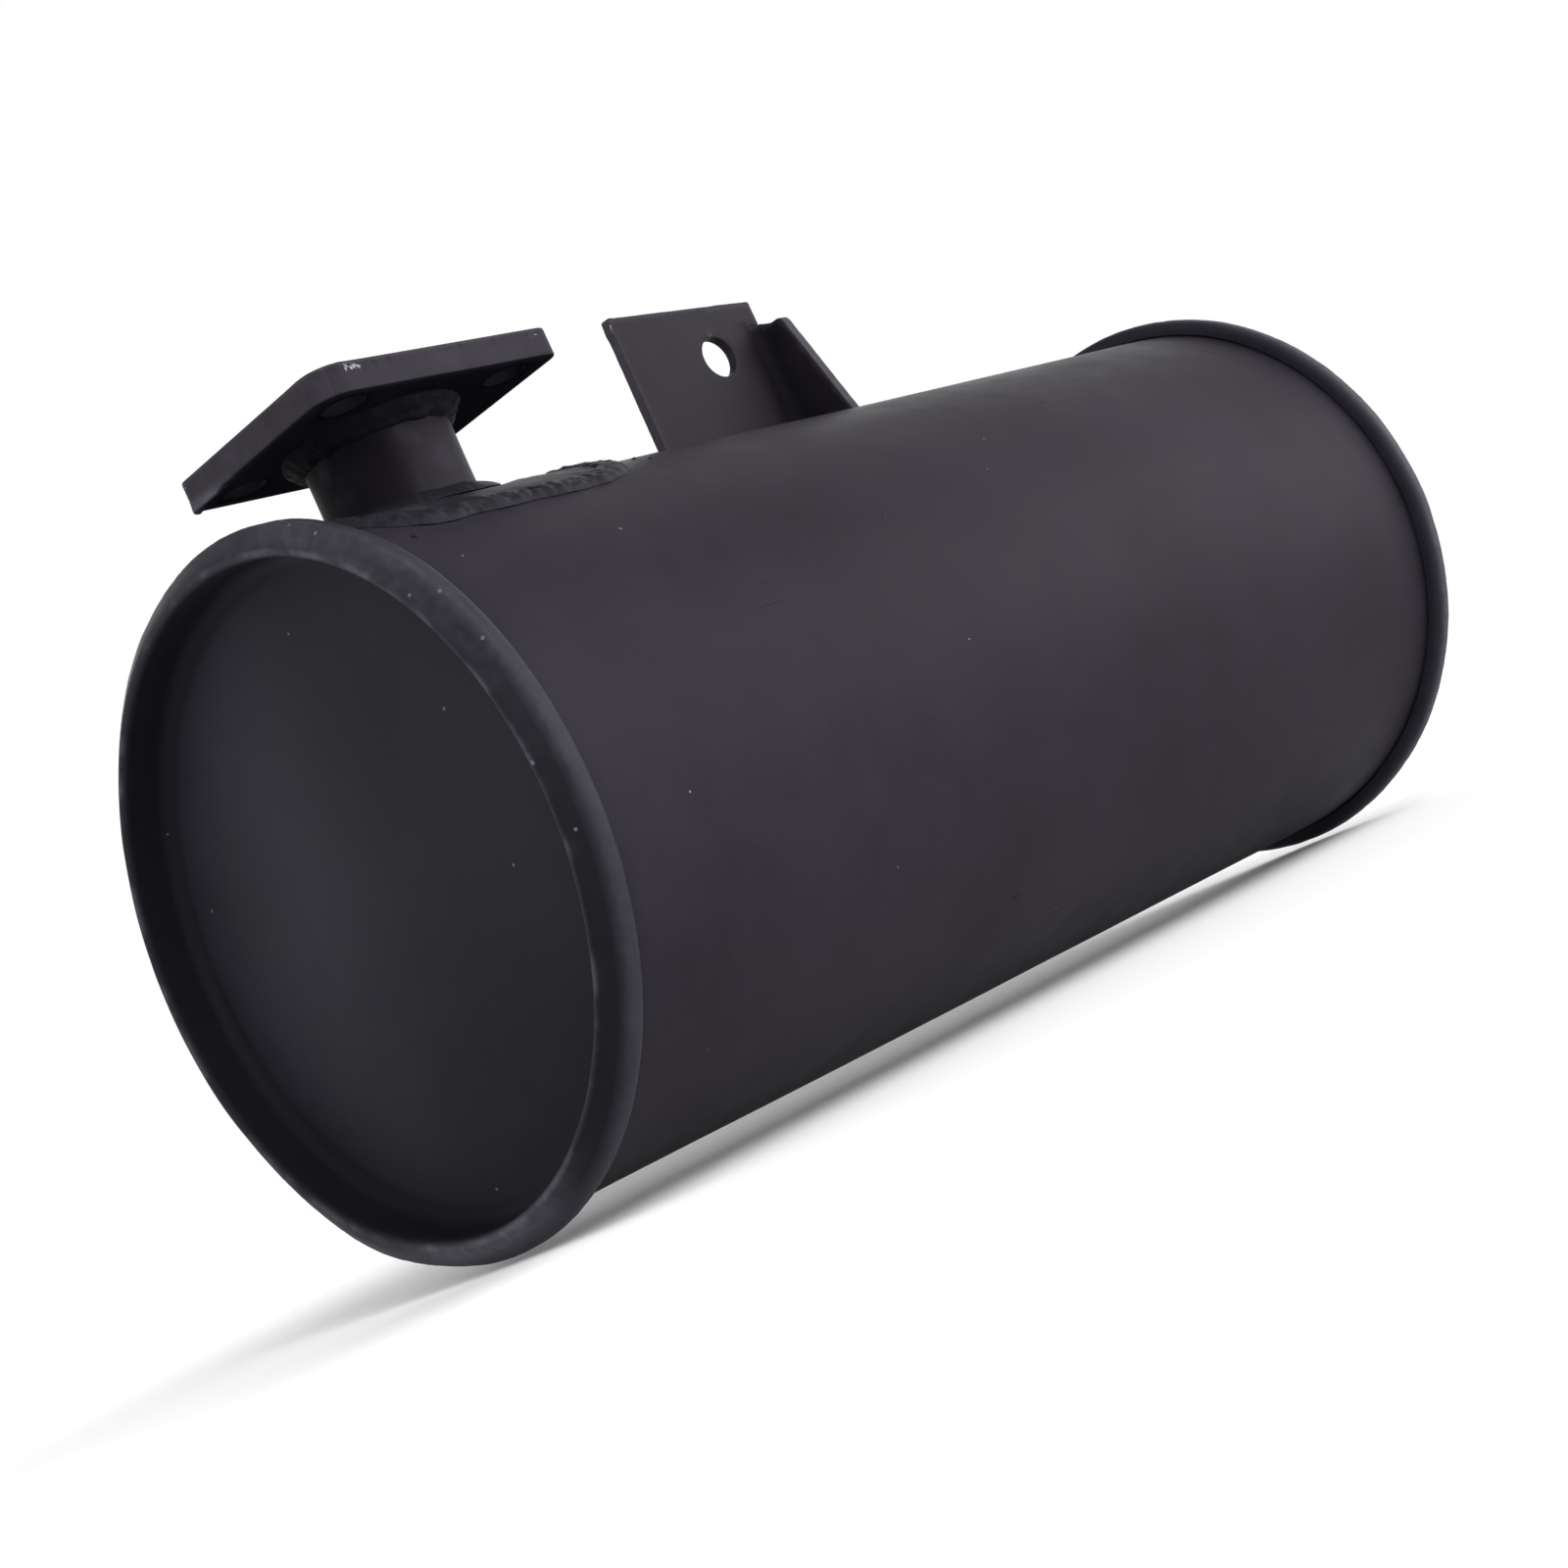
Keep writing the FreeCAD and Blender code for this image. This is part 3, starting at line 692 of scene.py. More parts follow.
def rounded(corners, radii, step):
    """A closed outline through corners, each rounded by its own radius."""
    corners = np.array(corners, float)
    line = []
    for i, radius in enumerate(radii):
        corner = corners[i]
        before, after = unit(np.stack([corner - corners[i - 1], corners[(i + 1) % len(corners)] - corner]))
        turn = turn_between(before, after)
        if radius == 0 or abs(turn) < 0.02:
            line.append(corner)
            continue
        count = max(2, math.ceil(abs(turn) * radius / step), math.ceil(abs(turn) / 0.3))
        line += arc(corner, before, turn, radius, count)
    return divide(np.array(line + [line[0]]), step)[:-1]


def box_corners(low, high):
    return [(low[0], low[1]), (high[0], low[1]), (high[0], high[1]), (low[0], high[1])]


def inside_loop(points, loop):
    """Whether each point lies inside a closed loop."""
    x, y = points[:, 0], points[:, 1]
    inside = np.zeros(len(points), bool)
    for (x0, y0), (x1, y1) in zip(loop, np.roll(loop, -1, axis=0)):
        if y0 != y1:
            inside ^= ((y0 > y) != (y1 > y)) & (x < (x1 - x0) * (y - y0) / (y1 - y0) + x0)
    return inside


def plate(loops, levels, spacing):
    """A flat plate with holes. Levels are pairs: how far in its edge lies, and at what height.

    It gives the plan position, the height, the way out of the edge, the loop (-1 inside a face) and the
    distance along the loop of every point, and the faces.
    """
    rim = levels[0][0]
    inset = [loop - rim * loop_out(loop) for loop in loops]
    low, high = loops[0].min(axis=0), loops[0].max(axis=0)
    across, up = np.meshgrid(*[np.arange(a + spacing / 2, b, spacing) for a, b in zip(low, high)])
    across = across + (np.arange(len(across)) % 2 * spacing / 2)[:, None]
    middle = np.stack([across.ravel(), up.ravel()], axis=1)
    keep = inside_loop(middle, inset[0])
    for hole in inset[1:]:
        keep &= ~inside_loop(middle, hole)
    edge = np.concatenate(inset)
    keep[keep] &= np.array([np.hypot(*(edge - p).T).min() > 0.55 * spacing for p in middle[keep]])
    middle = middle[keep]

    ends, first = [], 0
    for loop in inset:
        n = len(loop)
        ends += [(first + i, first + (i + 1) % n) for i in range(n)]
        first += n
    flat = np.concatenate([edge, middle])
    made = geometry.delaunay_2d_cdt([Vector(p) for p in flat], ends, [], 1, 1e-5)
    source = [origin[0] for origin in made[3]]
    triangles = np.array([[source[i] for i in face] for face in made[2]])
    centres = flat[triangles].mean(axis=1)
    good = inside_loop(centres, inset[0])
    for hole in inset[1:]:
        good &= ~inside_loop(centres, hole)
    triangles = triangles[good]

    total, plan, height, out, which, along, faces = len(edge), [], [], [], [], [], []
    every_out = np.concatenate([loop_out(loop) for loop in loops])
    every_which = np.concatenate([np.full(len(loop), i) for i, loop in enumerate(loops)])
    lengths = [np.cumsum(np.linalg.norm(np.roll(p, -1, axis=0) - p, axis=1)) for p in loops]
    for depth, level in levels:
        plan.append(np.concatenate(loops) - depth * every_out)
        height.append(np.full(total, float(level)))
        out.append(every_out)
        which.append(every_which)
        along.append(np.concatenate(lengths))
    for k in range(len(levels) - 1):
        first = 0
        for loop in loops:
            n = len(loop)
            j = np.arange(n)
            nxt = (j + 1) % n
            a, b = k * total + first, (k + 1) * total + first
            faces += np.stack([a + j, a + nxt, b + nxt, b + j], axis=1).tolist()
            first += n
    for level, shift in ((levels[0][1], 0), (levels[-1][1], (len(levels) - 1) * total)):
        start = sum(map(len, plan))
        plan.append(middle)
        height.append(np.full(len(middle), float(level)))
        out.append(np.zeros_like(middle))
        which.append(np.full(len(middle), -1))
        along.append(np.zeros(len(middle)))
        new = np.where(triangles < total, triangles + shift, triangles - total + start)
        faces += (new[:, ::-1] if shift == 0 else new).tolist()
    return tuple(map(np.concatenate, (plan, height, out, which, along))) + (faces,)


def edge_levels(thickness, ease_off, step):
    """Levels from a plate's lower face at -thickness to its upper face at 0, with eased edges."""
    count = max(2, round((thickness - 2 * ease_off) / step))
    side = np.linspace(ease_off - thickness, -ease_off, count + 1)
    low = [(ease_off, -thickness), (0.3 * ease_off, 0.3 * ease_off - thickness)]
    high = [(0.3 * ease_off, -0.3 * ease_off), (ease_off, 0.0)]
    return low + [(0.0, level) for level in side] + high


def flange():
    """A plate cut with a torch: scored sides, a ragged lip along one lower edge and chipped paint."""
    low, high = flange_low, flange_high
    radii = [FLANGE_LARGE_CORNER] + [FLANGE_CORNER] * 3
    loops = [rounded(box_corners(low, high), radii, 0.5), circle((PIPE_X, 0), PIPE_RADIUS, 120)]
    for x in (-0.5, 0.5):
        for y in (-0.5, 0.5):
            loops.append(circle((x * BOLT_SPACING[0], y * BOLT_SPACING[1]), BOLT_HOLE_RADIUS, 60))
    levels = edge_levels(FLANGE_THICKNESS, ease_off=0.45, step=0.75)
    plan, height, out, which, along, faces = plate(loops, levels, spacing=2.2)
    depth = -height
    x, y = plan.T
    rim = which == 0
    place = np.stack([x, y, height], axis=1)

    scores = np.stack([along, 0.10 * height, 0 * along], axis=1)
    cut = 0.035 * noise(scores, 1.7, 20) + 0.05 * noise(scores, 4.1, 21) + 0.13 * noise(place, 14.0, 22)
    front_side = rim & (x < low[0] + 4)
    lip = front_side * ease(8, 17, y) * ease(5.2, 7.6, depth) * (0.55 + 0.6 * noise(place, 5.5, 23))
    burr = hump(x, low[0] + 3, 7) * hump(y, low[1] + 2, 7) * ease(1.5, 0.2, depth)
    burr = burr * (0.4 + 0.6 * np.abs(noise(place, 2.2, 24)))
    push = np.where(rim, cut * ease(0, 0.4, np.minimum(depth, FLANGE_THICKNESS - depth)), 0)
    push = push + np.where(rim, 0.35 * lip + 0.35 * burr, 0)
    plan = plan + out * push[:, None]
    face_wave = 0.10 * noise(place, 21.0, 25) + 0.05 * noise(place, 5.0, 26)
    height = height + np.where(rim, 0.25 * burr - 1.1 * lip, face_wave * (which < 0))
    points = np.stack([plan[:, 0], plan[:, 1], height], axis=1)

    side = rim * ease(0.1, 0.6, depth) * ease(0.1, 0.6, FLANGE_THICKNESS - depth)
    scored = ease(0.25, 0.7, noise(scores, 0.9, 27)) * ease(3.2, 1.0, depth)
    under = ease(FLANGE_THICKNESS - 0.6, FLANGE_THICKNESS - 0.1, depth)
    edge = rim * ease(1.1, 0.15, depth)
    low_edge = rim * ease(1.0, 0.1, FLANGE_THICKNESS - depth)
    chipped = [(low[0] + 11, 7, low[1], 5, 1.0), (high[0] - 7, 3, low[1], 5, 0.8),
               (low[0], 5, high[1] - 3, 5, 0.8), (-9, 5, low[1], 4, 0.6)]
    near = sum(share * hump(x, at_x, wide) * hump(y, at_y, deep) for at_x, wide, at_y, deep, share in chipped)
    values = {
        "pale": side * (0.05 + 0.08 * rough(place, 7.0, 28)) + 0.28 * edge + 0.9 * lip + 0.12 * low_edge
        + 0.12 * side * front_side,
        # Darker on the scored sides; painted shade on the underside and on the walls of the bore and the bolt
        # holes
        "dark_and_shade": 0.6 * side * scored * (y < 0) + 0.3 * under * (which <= 0)
        + 0.95 * (which > 0) * ease(0.3, 1.5, depth),
        "bare": edge * (0.28 + 0.08 * near) + 0.60 * side * near * hump(depth, 1.9, 1.5)
        + 0.3 * low_edge * near,
    }
    piece = build("flange_plate", points, faces, flange_paint, ["inlet_flange"], values)
    # Faces that look down take the darker paint: painted shade under the flange
    piece.data.materials.append(flange_underside_shade)
    for face in piece.data.polygons:
        face.material_index = int(face.normal.z < -0.8)


def saddle():
    """The plate under the neck, lumpy from the heat of its welds."""
    low, high = saddle_low, saddle_high
    edge = rounded(box_corners(low, high), [SADDLE_CORNER] * 4, 1.0)
    loops = [edge, circle((PIPE_X, 0), PIPE_RADIUS - 0.3, 90)]
    levels = [(0.3, -0.3 - SADDLE_THICKNESS), (0.0, -0.6), (0.15, -0.2), (0.6, 0.0)]
    plan, height, *_, faces = plate(loops, levels, spacing=1.7)
    flat = np.stack([plan[:, 0], plan[:, 1], 0 * height], axis=1)
    near_edge = ease(9, 1, np.minimum(plan[:, 0] - low[0], high[0] - plan[:, 0]))
    near_edge = np.maximum(near_edge, ease(9, 1, high[1] - np.abs(plan[:, 1])))
    lumps = 0.35 * noise(flat, 11.0, 30) + (0.26 + 0.26 * near_edge) * rough(flat, 4.4, 31)
    top = height > -0.5
    height = height + np.where(top, lumps, 0)
    angle = np.arcsin(plan[:, 1] / SHELL_RADIUS)
    points = round_shell(plan[:, 0], angle, SHELL_RADIUS + SADDLE_THICKNESS + height)
    values = {
        "pale": 0.16 * ease(0.1, 0.7, rough(flat, 6.0, 32)),
        # Darker all over and along the lumpy edges; darkest round the pipe, as painted shade in the recess at
        # the neck's base
        "dark_and_shade": 0.35 + 0.6 * near_edge * ease(0.15, 0.55, rough(flat, 3.2, 33))
        + 0.9 * ease(PIPE_RADIUS + 8, PIPE_RADIUS + 3, np.hypot(plan[:, 0] - PIPE_X, plan[:, 1])),
    }
    build("saddle_skin", points, faces, neck_paint, ["saddle_plate"], values)


def lean(x, level, direction=1):
    """Leans a point of the bracket's side view, or takes the lean away again."""
    c, s = math.cos(LEAN), direction * math.sin(LEAN)
    dx, dz = x - LEAN_PIVOT[0], level - LEAN_PIVOT[1]
    return LEAN_PIVOT[0] + c * dx + s * dz, LEAN_PIVOT[1] - s * dx + c * dz


def bracket():
    """One bent plate, worked out flat and then bent. Along runs from its front edge, round the bend."""
    bend_start = GUSSET_REAR_X - PLATE - BEND_RADIUS - BRACKET_FRONT_X
    middle_radius = BEND_RADIUS + PLATE / 2
    bend_end = bend_start + middle_radius * math.pi / 2
    flat_end = BRACKET_REAR_X - BRACKET_FRONT_X
    foot = SHELL_RADIUS - 0.5
    slit = bend_start + 1.6

    def from_y(y):
        return bend_end - BEND_RADIUS - y

    foot_y = np.linspace(-BEND_RADIUS, GUSSET_FOOT[0], 9)
    bottom = [(from_y(y), math.sqrt(SHELL_RADIUS**2 - y * y) - 0.5) for y in foot_y]
    corners = [(0.0, foot), (bend_start, foot)] + bottom
    radii = [0.0] * len(corners)
    corners += [
        (from_y(GUSSET_CORNER_Y), GUSSET_TOP),
        (from_y(-1.5 * BEND_RADIUS), GUSSET_TOP),
        (bend_start + 6.4, RELIEF - 0.8),
        (slit, RELIEF - 0.14),
        (slit, RELIEF),
        (flat_end, RELIEF),
        (flat_end, BRACKET_REAR_TOP),
        (0.0, BRACKET_FRONT_TOP),
    ]
    radii += [GUSSET_CORNER_RADIUS, 1.5, 1.5, 0.0, 0.0, 0.4, 0.9, 0.7]
    hole_x, hole_level = lean(*BRACKET_HOLE, -1)
    hole_x -= BRACKET_FRONT_X
    loops = [rounded(corners, radii, 0.7), circle((hole_x, hole_level), BRACKET_HOLE_RADIUS, 72)]
    levels = [(depth, level + PLATE / 2) for depth, level in edge_levels(PLATE, ease_off=0.3, step=0.6)]
    plan, height, out, which, along, faces = plate(loops, levels, spacing=1.6)
    u, v = plan.T
    flat = np.stack([u, v, height], axis=1)
    rim = which == 0
    front_edge = rim & (u < 2)
    burr = front_edge * hump(v, BRACKET_FRONT_TOP - 3.0, 2.4) * (0.6 + 0.5 * noise(flat, 1.6, 40))
    sheared = np.stack([along, 0.3 * height, 0 * along], axis=1)
    push = np.where(rim, 0.07 * noise(sheared, 1.8, 41) + 0.07 * noise(flat, 7.0, 42) + 0.85 * burr, 0)
    hole_burr = (which == 1) * hump(u, hole_x - 0.5, 1.2) * (v > hole_level)
    plan = plan + out * push[:, None]
    u, v = plan.T
    height = height + 0.12 * noise(np.stack([u, v, 0 * u], axis=1), 26.0, 43)
    height = height - 0.5 * hole_burr * (height < 0)

    bent = (u > bend_start) & (v < RELIEF - 0.05)
    turn = np.clip((u - bend_start) / middle_radius, 0, math.pi / 2)
    turn = np.where(bent, turn, 0)
    past = np.where(bent, np.maximum(u - bend_end, 0), 0)
    distance = middle_radius + height
    x = np.where(bent, BRACKET_FRONT_X + bend_start + distance * np.sin(turn), BRACKET_FRONT_X + u)
    y = np.where(bent, PLATE / 2 - middle_radius + distance * np.cos(turn) - past, PLATE / 2 + height)
    x, level = lean(x, v)
    points = np.stack([x, y, AXIS_Z + level], axis=1)

    side = rim & (np.abs(height) < PLATE / 2 - 0.15)
    sharp_edge = rim & ~side
    # Darker across the inside of the bend: painted shade
    bend_shade = (0.95 * hump(u, bend_start + 3, 5) + 0.5 * hump(u, bend_start + 9, 8)) * (v < RELIEF + 1)
    values = {
        # Paler cut sides: scuffed edges, and painted light that lifts the sides to the tone of the faces; the
        # top of the front edge is paler still, as a painted highlight
        "pale": side * (0.45 + 0.10 * rough(flat, 3.0, 44)) + 0.25 * sharp_edge + 0.4 * hole_burr
        + 0.5 * front_edge * sharp_edge * (height > 0),
        "dark_and_shade": bend_shade * (1 - side),
        "bare": 0.28 * sharp_edge + 0.45 * burr + 0.35 * hole_burr + 0.15 * side,
    }
    build("bracket_sheet", points, faces, bracket_paint, ["mounting_bracket"], values)


# Weld beads


def fillet(count, swell=1.35):
    """The cross-section of a fillet weld, from the first leg to the second, as shares of the legs."""
    angle = np.linspace(0, math.pi / 2, count)
    return np.stack([np.cos(angle) ** swell, np.sin(angle) ** swell], axis=1)


def dome(count):
    """The cross-section of a bead that lies on a surface."""
    across = np.linspace(1, -1, count)
    return np.stack([across, (1 - np.abs(across) ** 2.4) ** 0.8], axis=1)


def bead(name, node, path, out, up, legs, section, closed, lump, ripple, pitch, seed, sink=0.5,
         tiers=0.0, fine=0.35, dark=0.0, material=weld_paint):
    """A weld bead along a path, with ripples and lumps. Its legs lie along the out and up directions.

    Sink is how far its root lies inside the metal, tiers is how deep the dip is between two runs that lie
    side by side, fine is the share of small lumps, and dark is how much darker the bead is painted: a darker
    tone, and painted shade for the beads that lie in shade.
    """
    path, out, up = [np.broadcast_to(a, (len(path), 3)).astype(float) for a in (path, out, up)]
    gaps = np.linalg.norm(np.roll(path, -1, axis=0) - path, axis=1)
    along = np.concatenate([[0], np.cumsum(gaps[:-1])])
    total = along[-1] + (gaps[-1] if closed else 0)
    pitch = total / max(1, round(total / pitch))
    grow = 1 + 0.16 * rough(path, 7.0, seed)
    grow_up = 1 + 0.14 * rough(path, 6.0, seed + 3)
    if not closed:
        taper = ease(-1.5, 3.0, np.minimum(along, total - along))
        grow, grow_up = grow * taper, grow_up * taper
    first = section[None, :, 0] * (legs[0] * grow)[:, None]
    second = section[None, :, 1] * (legs[1] * grow_up)[:, None]
    points = path[:, None] + out[:, None] * first[..., None] + up[:, None] * second[..., None]
    slope = np.gradient(np.stack([first, second], axis=2), axis=1)
    face = np.stack([slope[..., 1], -slope[..., 0]], axis=2)
    face /= np.maximum(np.linalg.norm(face, axis=2), 1e-9)[..., None]
    if (face[:, len(section) // 2] @ np.array([1.0, 1.0])).mean() < 0:
        face = -face
    way = out[:, None] * face[..., :1] + up[:, None] * face[..., 1:]
    share = np.linspace(-1, 1, len(section))
    phase = along[:, None] / pitch + 0.45 * share[None, :] ** 2 + 0.25 * noise(path, 9.0, seed + 1)[:, None]
    wave = np.abs((phase % 1) * 2 - 1)
    spots = points.reshape(-1, 3)
    lumps = (rough(spots, 4.2, seed + 2) + fine * noise(spots, 1.3, seed + 4)).reshape(wave.shape) * lump
    ends = 1 - share[None, :] ** 4
    height = lumps * (0.35 + 0.65 * ends) + ripple * (wave - 0.5) * ends
    height -= tiers * hump(share[None, :] + 0.35 * noise(path, 13.0, seed + 6)[:, None], 0.0, 0.22) * ends
    points = points + way * height[..., None]
    root = path - sink * up - (sink * out if section[:, 0].min() >= 0 else 0)
    points = np.concatenate([points, root[:, None]], axis=1)
    rows, columns = points.shape[:2]
    faces = grid_faces(rows, columns, closed, True).tolist()
    if not closed:
        faces.append(list(range(columns)))
        faces.append([(rows - 1) * columns + j for j in reversed(range(columns))])
    toe = np.abs(share[None, :]) ** 6 * np.ones_like(height)
    holes = ease(0.35, 0.75, rough(spots, 2.6, seed + 5)).reshape(height.shape)
    crest = ease(0.0, 1.3 * lump + ripple, height)
    dark = np.reshape(dark, (-1, 1))
    root_too = ((0, 0), (0, 1))
    values = {
        "dark_and_shade": np.pad(dark + 0.18 * toe + 0.6 * holes, root_too).ravel(),
        "pale": np.pad((0.25 - 0.20 * np.clip(dark, 0, 1)) * crest, root_too).ravel(),
    }
    build(name, points.reshape(-1, 3), faces, material, [node], values, sharp=75.0)


def ring(count):
    return np.linspace(0, 2 * math.pi, count, endpoint=False)


def pipe_beads():
    """The beads between pipe and flange, inside the flange's bore, and between pipe and saddle."""
    angle = ring(WELD_STEPS)
    outward = np.stack([np.cos(angle), np.sin(angle), 0 * angle], axis=1)
    low, high = box_mm("flange_weld")
    leg = high[2] - low[2]
    path = round_pipe(high[2], angle, PIPE_RADIUS)
    # The bead under the flange is darker all round and darkest on one side: painted shade
    bead("flange_bead", "flange_weld", path, outward, -UP, (leg, leg), fillet(15), True,
         lump=0.60, ripple=0.0, pitch=4.6, seed=51, tiers=0.4, fine=0.12,
         dark=0.80 - 0.5 * np.cos(angle + 0.8), material=weld_shade_paint)
    low, high = box_mm("flange_bore_weld")
    leg = high[2] - low[2]
    path = round_pipe(low[2], angle, PIPE_RADIUS)
    bead("flange_bore_bead", "flange_bore_weld", path, -outward, UP, (leg, leg), fillet(7),
         True, lump=0.16, ripple=0.06, pitch=2.0, seed=52, sink=0.3)
    low, high = box_mm("pipe_base_weld")
    leg = (high[0] - low[0]) / 2 - PIPE_RADIUS
    surface = SHELL_RADIUS + SADDLE_THICKNESS
    tilt = np.arcsin(PIPE_RADIUS * np.sin(angle) / surface)
    path = round_pipe(AXIS_Z + surface * np.cos(tilt), angle, PIPE_RADIUS)
    normal = normal_at(tilt)
    along_plate = unit(outward - normal * np.sum(outward * normal, axis=1)[:, None])
    # Darker, more on the side towards the front end: painted shade in the recess between pipe and saddle
    bead("neck_base_bead", "pipe_base_weld", path, along_plate, UP, (1.8 * leg, leg), fillet(9, 1.7),
         True, lump=0.45, ripple=0.03, pitch=2.8, seed=53, fine=0.2,
         dark=0.75 - 0.2 * np.cos(angle))


def saddle_bead():
    """The bead round the saddle's edge, wide and uneven, with a hooked end towards the bracket."""
    line = rounded(box_corners(saddle_low - 0.3, saddle_high + 0.3), [SADDLE_CORNER] * 4, 0.45)
    flat = np.stack([line[:, 0], line[:, 1], 0 * line[:, 0]], axis=1)
    line = line + loop_out(line) * (0.9 * rough(flat, 13.0, 60))[:, None]
    hook = ease(saddle_high[0] - 16, saddle_high[0], line[:, 0]) * hump(line[:, 1], saddle_low[1] + 10, 26)
    line[:, 0] += 3.6 * hook
    out = loop_out(line)
    angle = np.arcsin(line[:, 1] / SHELL_RADIUS)
    path = round_shell(line[:, 0], angle, SHELL_RADIUS)
    sideways = unit(out[:, :1] * AHEAD + out[:, 1:] * tangent_at(angle))
    bead("saddle_bead", "saddle_weld", path, sideways, normal_at(angle), (4.6, 1.9), dome(17),
         True, lump=0.75, ripple=0.02, pitch=3.1, seed=61, fine=0.26, dark=0.50)


def other_beads():
    """The beads along the shell's seam, at the bracket's foot and round the outlet pipe."""
    low, high = box_mm("shell_seam_weld")
    angle = math.atan2((low[1] + high[1]) / 2, (low[2] + high[2]) / 2 - AXIS_Z)
    path = round_shell(np.arange(low[0], high[0], 0.8), angle, SHELL_RADIUS)
    bead("seam_bead", "shell_seam_weld", path, tangent_at(angle), normal_at(angle), (2.5, 0.7), dome(9),
         False, lump=0.10, ripple=0.16, pitch=2.2, seed=70, sink=0.4)

    low, high = box_mm("bracket_plate_welds")
    x = np.arange(low[0], high[0], 0.4)
    leg = -low[1]
    for name, y, side, line in (
        ("bracket_bead_near", 0.0, -1, x[x < high[0] - 2]),
        ("bracket_bead_far", PLATE, 1, x),
    ):
        angle = math.asin(y / SHELL_RADIUS)
        path = round_shell(line, angle, SHELL_RADIUS)
        bead(name, "bracket_plate_welds", path, side * tangent_at(angle), UP, (leg, leg), fillet(8),
             False, lump=0.3, ripple=0.14, pitch=2.4, seed=72 + side)

    low, high = box_mm("bracket_gusset_weld")
    y = np.arange(low[1], high[1], 0.3)
    path = round_shell(GUSSET_REAR_X - 0.1, np.arcsin(y / SHELL_RADIUS), SHELL_RADIUS)
    bead("gusset_bead", "bracket_gusset_weld", path, AHEAD, UP, (2.0, 2.4), fillet(7),
         False, lump=0.25, ripple=0.1, pitch=2.0, seed=75)

    low, high = box_mm("outlet_weld")
    angle = ring(WELD_STEPS)
    leg = high[0] - low[0]
    path = round_shell(low[0], angle, PIPE_RADIUS)
    bead("outlet_bead", "outlet_weld", path, normal_at(angle), AHEAD, (leg, leg), fillet(10),
         True, lump=0.38, ripple=0.16, pitch=2.6, seed=76)


def spatter():
    """Drops of weld metal beside the neck's welds: three the photo shows, and six on the far side."""
    ball = bmesh.new()
    bmesh.ops.create_icosphere(ball, subdivisions=2, radius=1.0)
    shape = np.array([v.co for v in ball.verts])
    cover = [[v.index for v in f.verts] for f in ball.faces]
    ball.free()
    drops = [(-48.4, -37.7, 0.75), (52.5, -21.0, 0.7), (52.5, -25.0, 0.6)]
    for _ in range(6):
        turn = random.uniform(0.1, 0.9) * math.pi
        x = -7 + (44 + random.uniform(3, 20)) * math.cos(turn)
        y = (49 + random.uniform(3, 14)) * math.sin(turn)
        drops.append((x, math.degrees(math.asin(y / SHELL_RADIUS)), random.uniform(0.2, 0.4)))
    points, faces = [], []
    for x, degrees, size in drops:
        angle = math.radians(degrees)
        normal = normal_at(angle)
        spot = shape * size * (1 + 0.25 * noise(shape + 10 * x, 0.9, 80))[:, None]
        spot = spot - normal * (0.35 * (spot @ normal))[:, None]
        faces += [[i + sum(map(len, points)) for i in face] for face in cover]
        points.append(spot + round_shell(x, angle, SHELL_RADIUS + 0.15 * size))
    points = np.concatenate(points)
    values = {"dark_and_shade": np.full(len(points), 0.45)}
    build("weld_spatter", points, faces, weld_paint, (), values, sharp=80.0)


shell()
cap("front_cap_skin", "front_end_cap", FRONT_RIM_X, -1, 0.0,
    [(118, 149, 166, 1.4)], [(62.0, 0.5, 0.7), (84.0, 1.5, 0.6), (120.0, -1.0, 0.5)], 5)
cap("rear_cap_skin", "rear_end_cap", REAR_RIM_X, 1, PIPE_RADIUS, [], [(-70.0, 0.5, 0.4)], 11)
saddle()
flange()
bracket()
tube("neck_tube", "inlet_pipe", tube_outline(pipe_low[2], pipe_high[2], PIPE_RADIUS, step=2.0), round_pipe,
     neck_paint, dents=0.12, seed=15)
tube("outlet_tube", "outlet_pipe", outlet_outline(), round_shell, outlet_paint, dents=0.10,
     seed=17)
pipe_beads()
saddle_bead()
other_beads()
spatter()

for node in ("inlet_diffuser", "diffuser_plug", "front_baffle", "rear_baffle", "left_transfer_tube",
             "right_transfer_tube", "return_tube", "outlet_core", "front_baffle_tube_welds",
             "rear_baffle_tube_welds"):
    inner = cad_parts[node]
    inner.data.materials.clear()
    inner.data.materials.append(inner_steel)

# Floor, light and camera

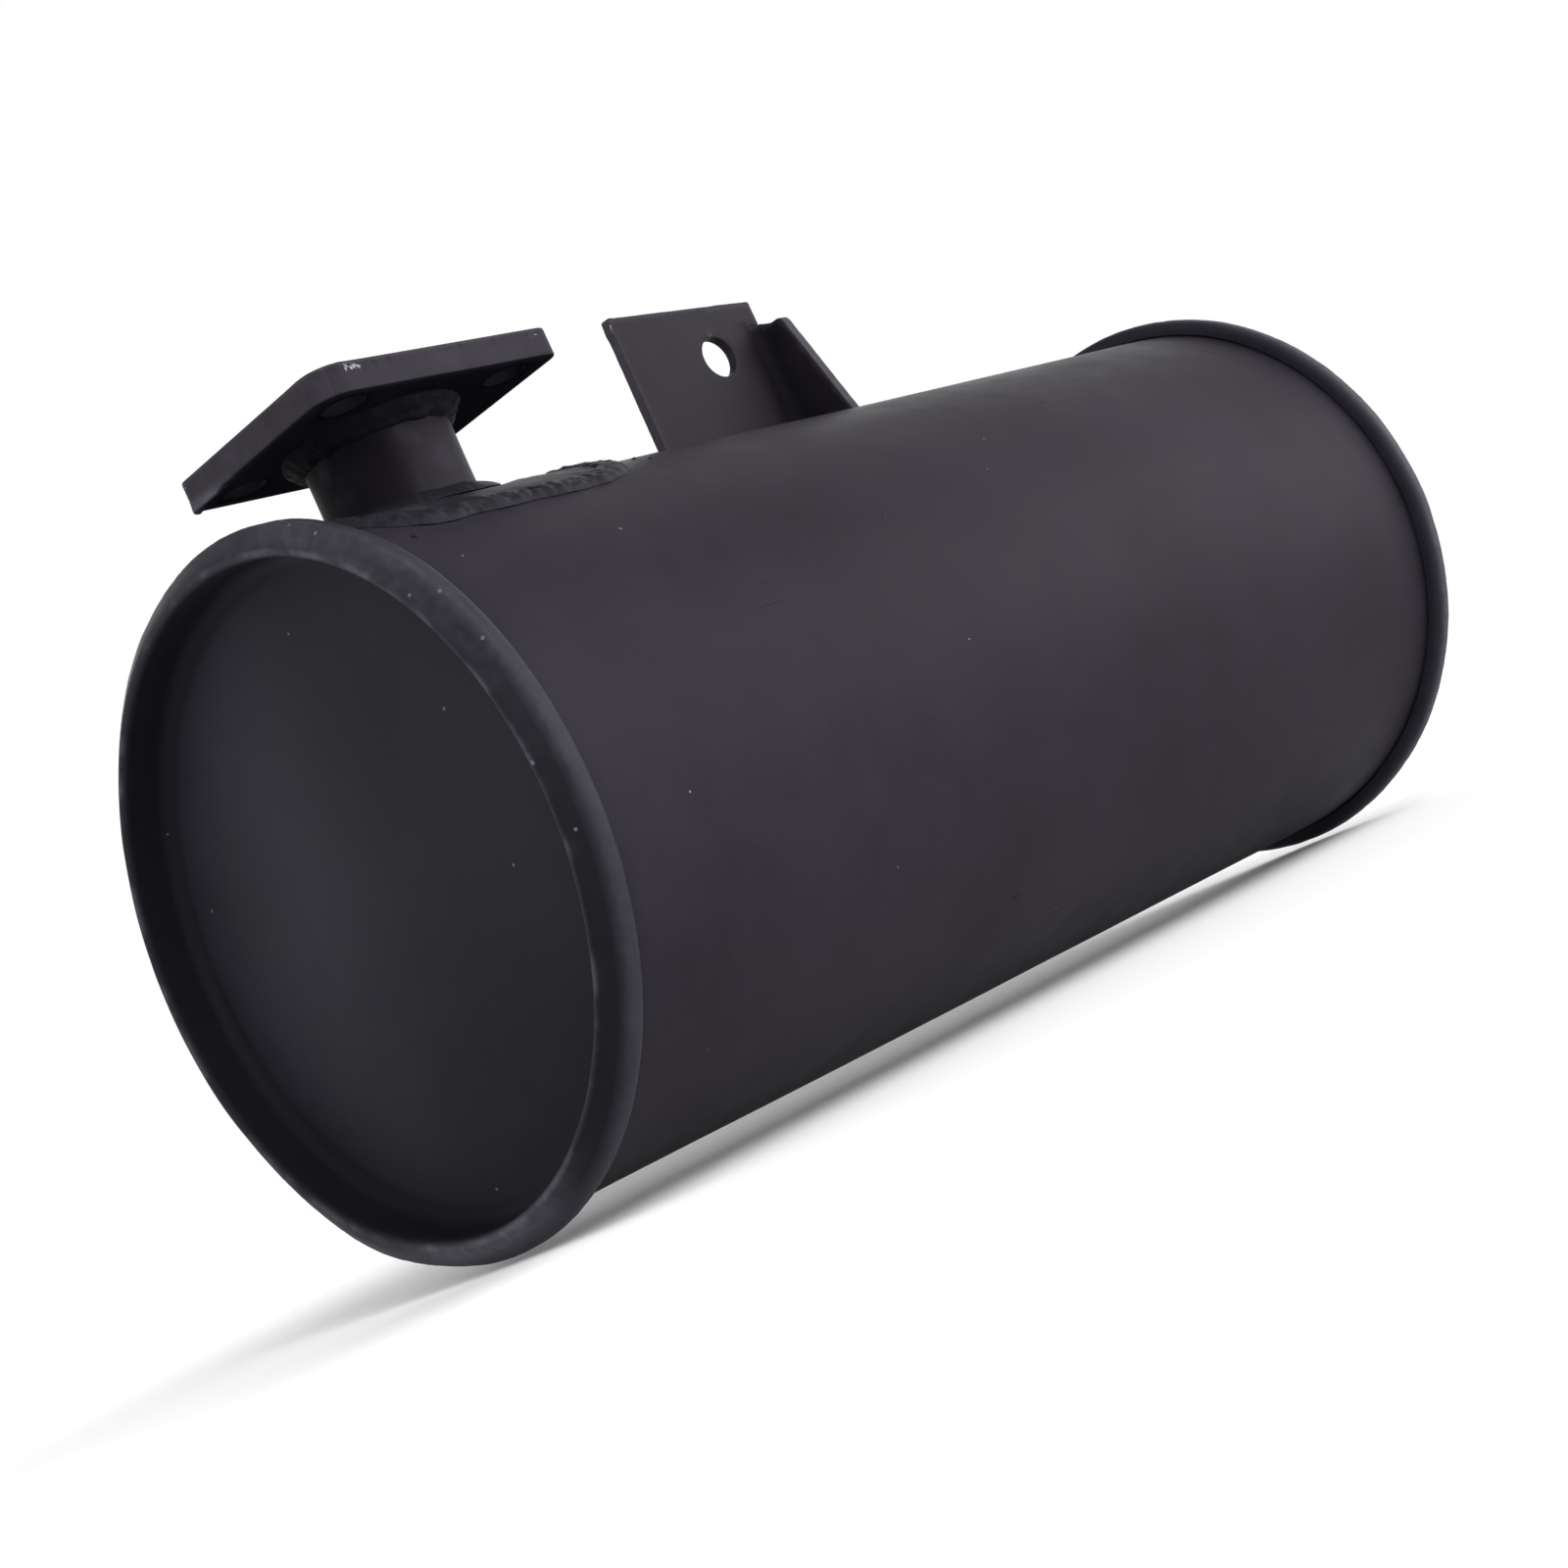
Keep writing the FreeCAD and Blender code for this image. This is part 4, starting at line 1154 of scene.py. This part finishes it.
FLOOR_GAP = 1.5
floor_z = (AXIS_Z - RIM_RADIUS - FLOOR_GAP) * MM
floor_mesh = bpy.data.meshes.new("floor")
reach = 40.0
floor_mesh.from_pydata([(-reach, -reach, floor_z), (reach, -reach, floor_z), (reach, reach, floor_z),
                        (-reach, reach, floor_z)], [], [(0, 1, 2, 3)])
floor = put("floor", floor_mesh)
floor_paint, floor_tree, floor_shader, floor_where = start_material("floor_paint")
pale = noise_node(floor_tree, floor_where, 3.0, 3.0)
floor_look = blend(floor_tree, pale, rgb(0.93, 0.93, 0.935), rgb(0.95, 0.95, 0.955))
floor_tree.links.new(floor_look, floor_shader.inputs["Base Color"])
floor_shader.inputs["Roughness"].default_value = 0.9
floor_shader.inputs["Specular IOR Level"].default_value = 0.1
floor_mesh.materials.append(floor_paint)

# The surroundings are white as high as the camera sees, and dim above
WHITE_UP_TO, DIM_FROM, DIM = 0.43, 0.62, 0.12
world = bpy.data.worlds.new("studio")
bpy.context.scene.world = world
world.use_nodes = True
studio = world.node_tree
sky = studio.nodes["Background"]
sky.inputs["Color"].default_value = rgb(1.0, 1.0, 1.0)
sky_where = studio.nodes.new("ShaderNodeTexCoord").outputs["Generated"]
height = add(studio, "ShaderNodeSeparateXYZ", {0: sky_where}).outputs["Z"]
brightness = spread(studio, height, WHITE_UP_TO, DIM_FROM, 1.0, DIM)
studio.links.new(brightness, sky.inputs["Strength"])

# Far, wide lights: the way to each, and its strength
SUN_WIDTH = math.radians(60)
for name, direction, strength in (
    ("key", (0.71, -0.70, 0.15), 3.05),
    ("side", (0.0, -0.75, 0.65), 1.75),
    ("front", (-0.50, -0.50, 0.70), 1.0),
    ("back", (0.85, 0.40, 0.38), 0.75),
    ("far_side", (-0.70, 0.70, 0.35), 0.3),
    ("behind", (0.45, 0.88, 0.05), 1.3),
):
    sun = bpy.data.lights.new(name, "SUN")
    sun.energy = strength
    sun.angle = SUN_WIDTH
    light = put(name, sun)
    light.rotation_mode = "QUATERNION"
    light.rotation_quaternion = Vector(direction).to_track_quat("Z", "Y")

camera_data = bpy.data.cameras.new("camera")
camera_data.lens = 59.154
camera_data.sensor_width = 36.0
camera = put("camera", camera_data)
camera.location = (-0.439248, -0.515302, -0.177725)
camera.rotation_euler = Euler([math.radians(a) for a in (93.7196, 24.4214, -44.001)])
bpy.context.scene.camera = camera
bpy.context.scene.view_settings.view_transform = "Standard"
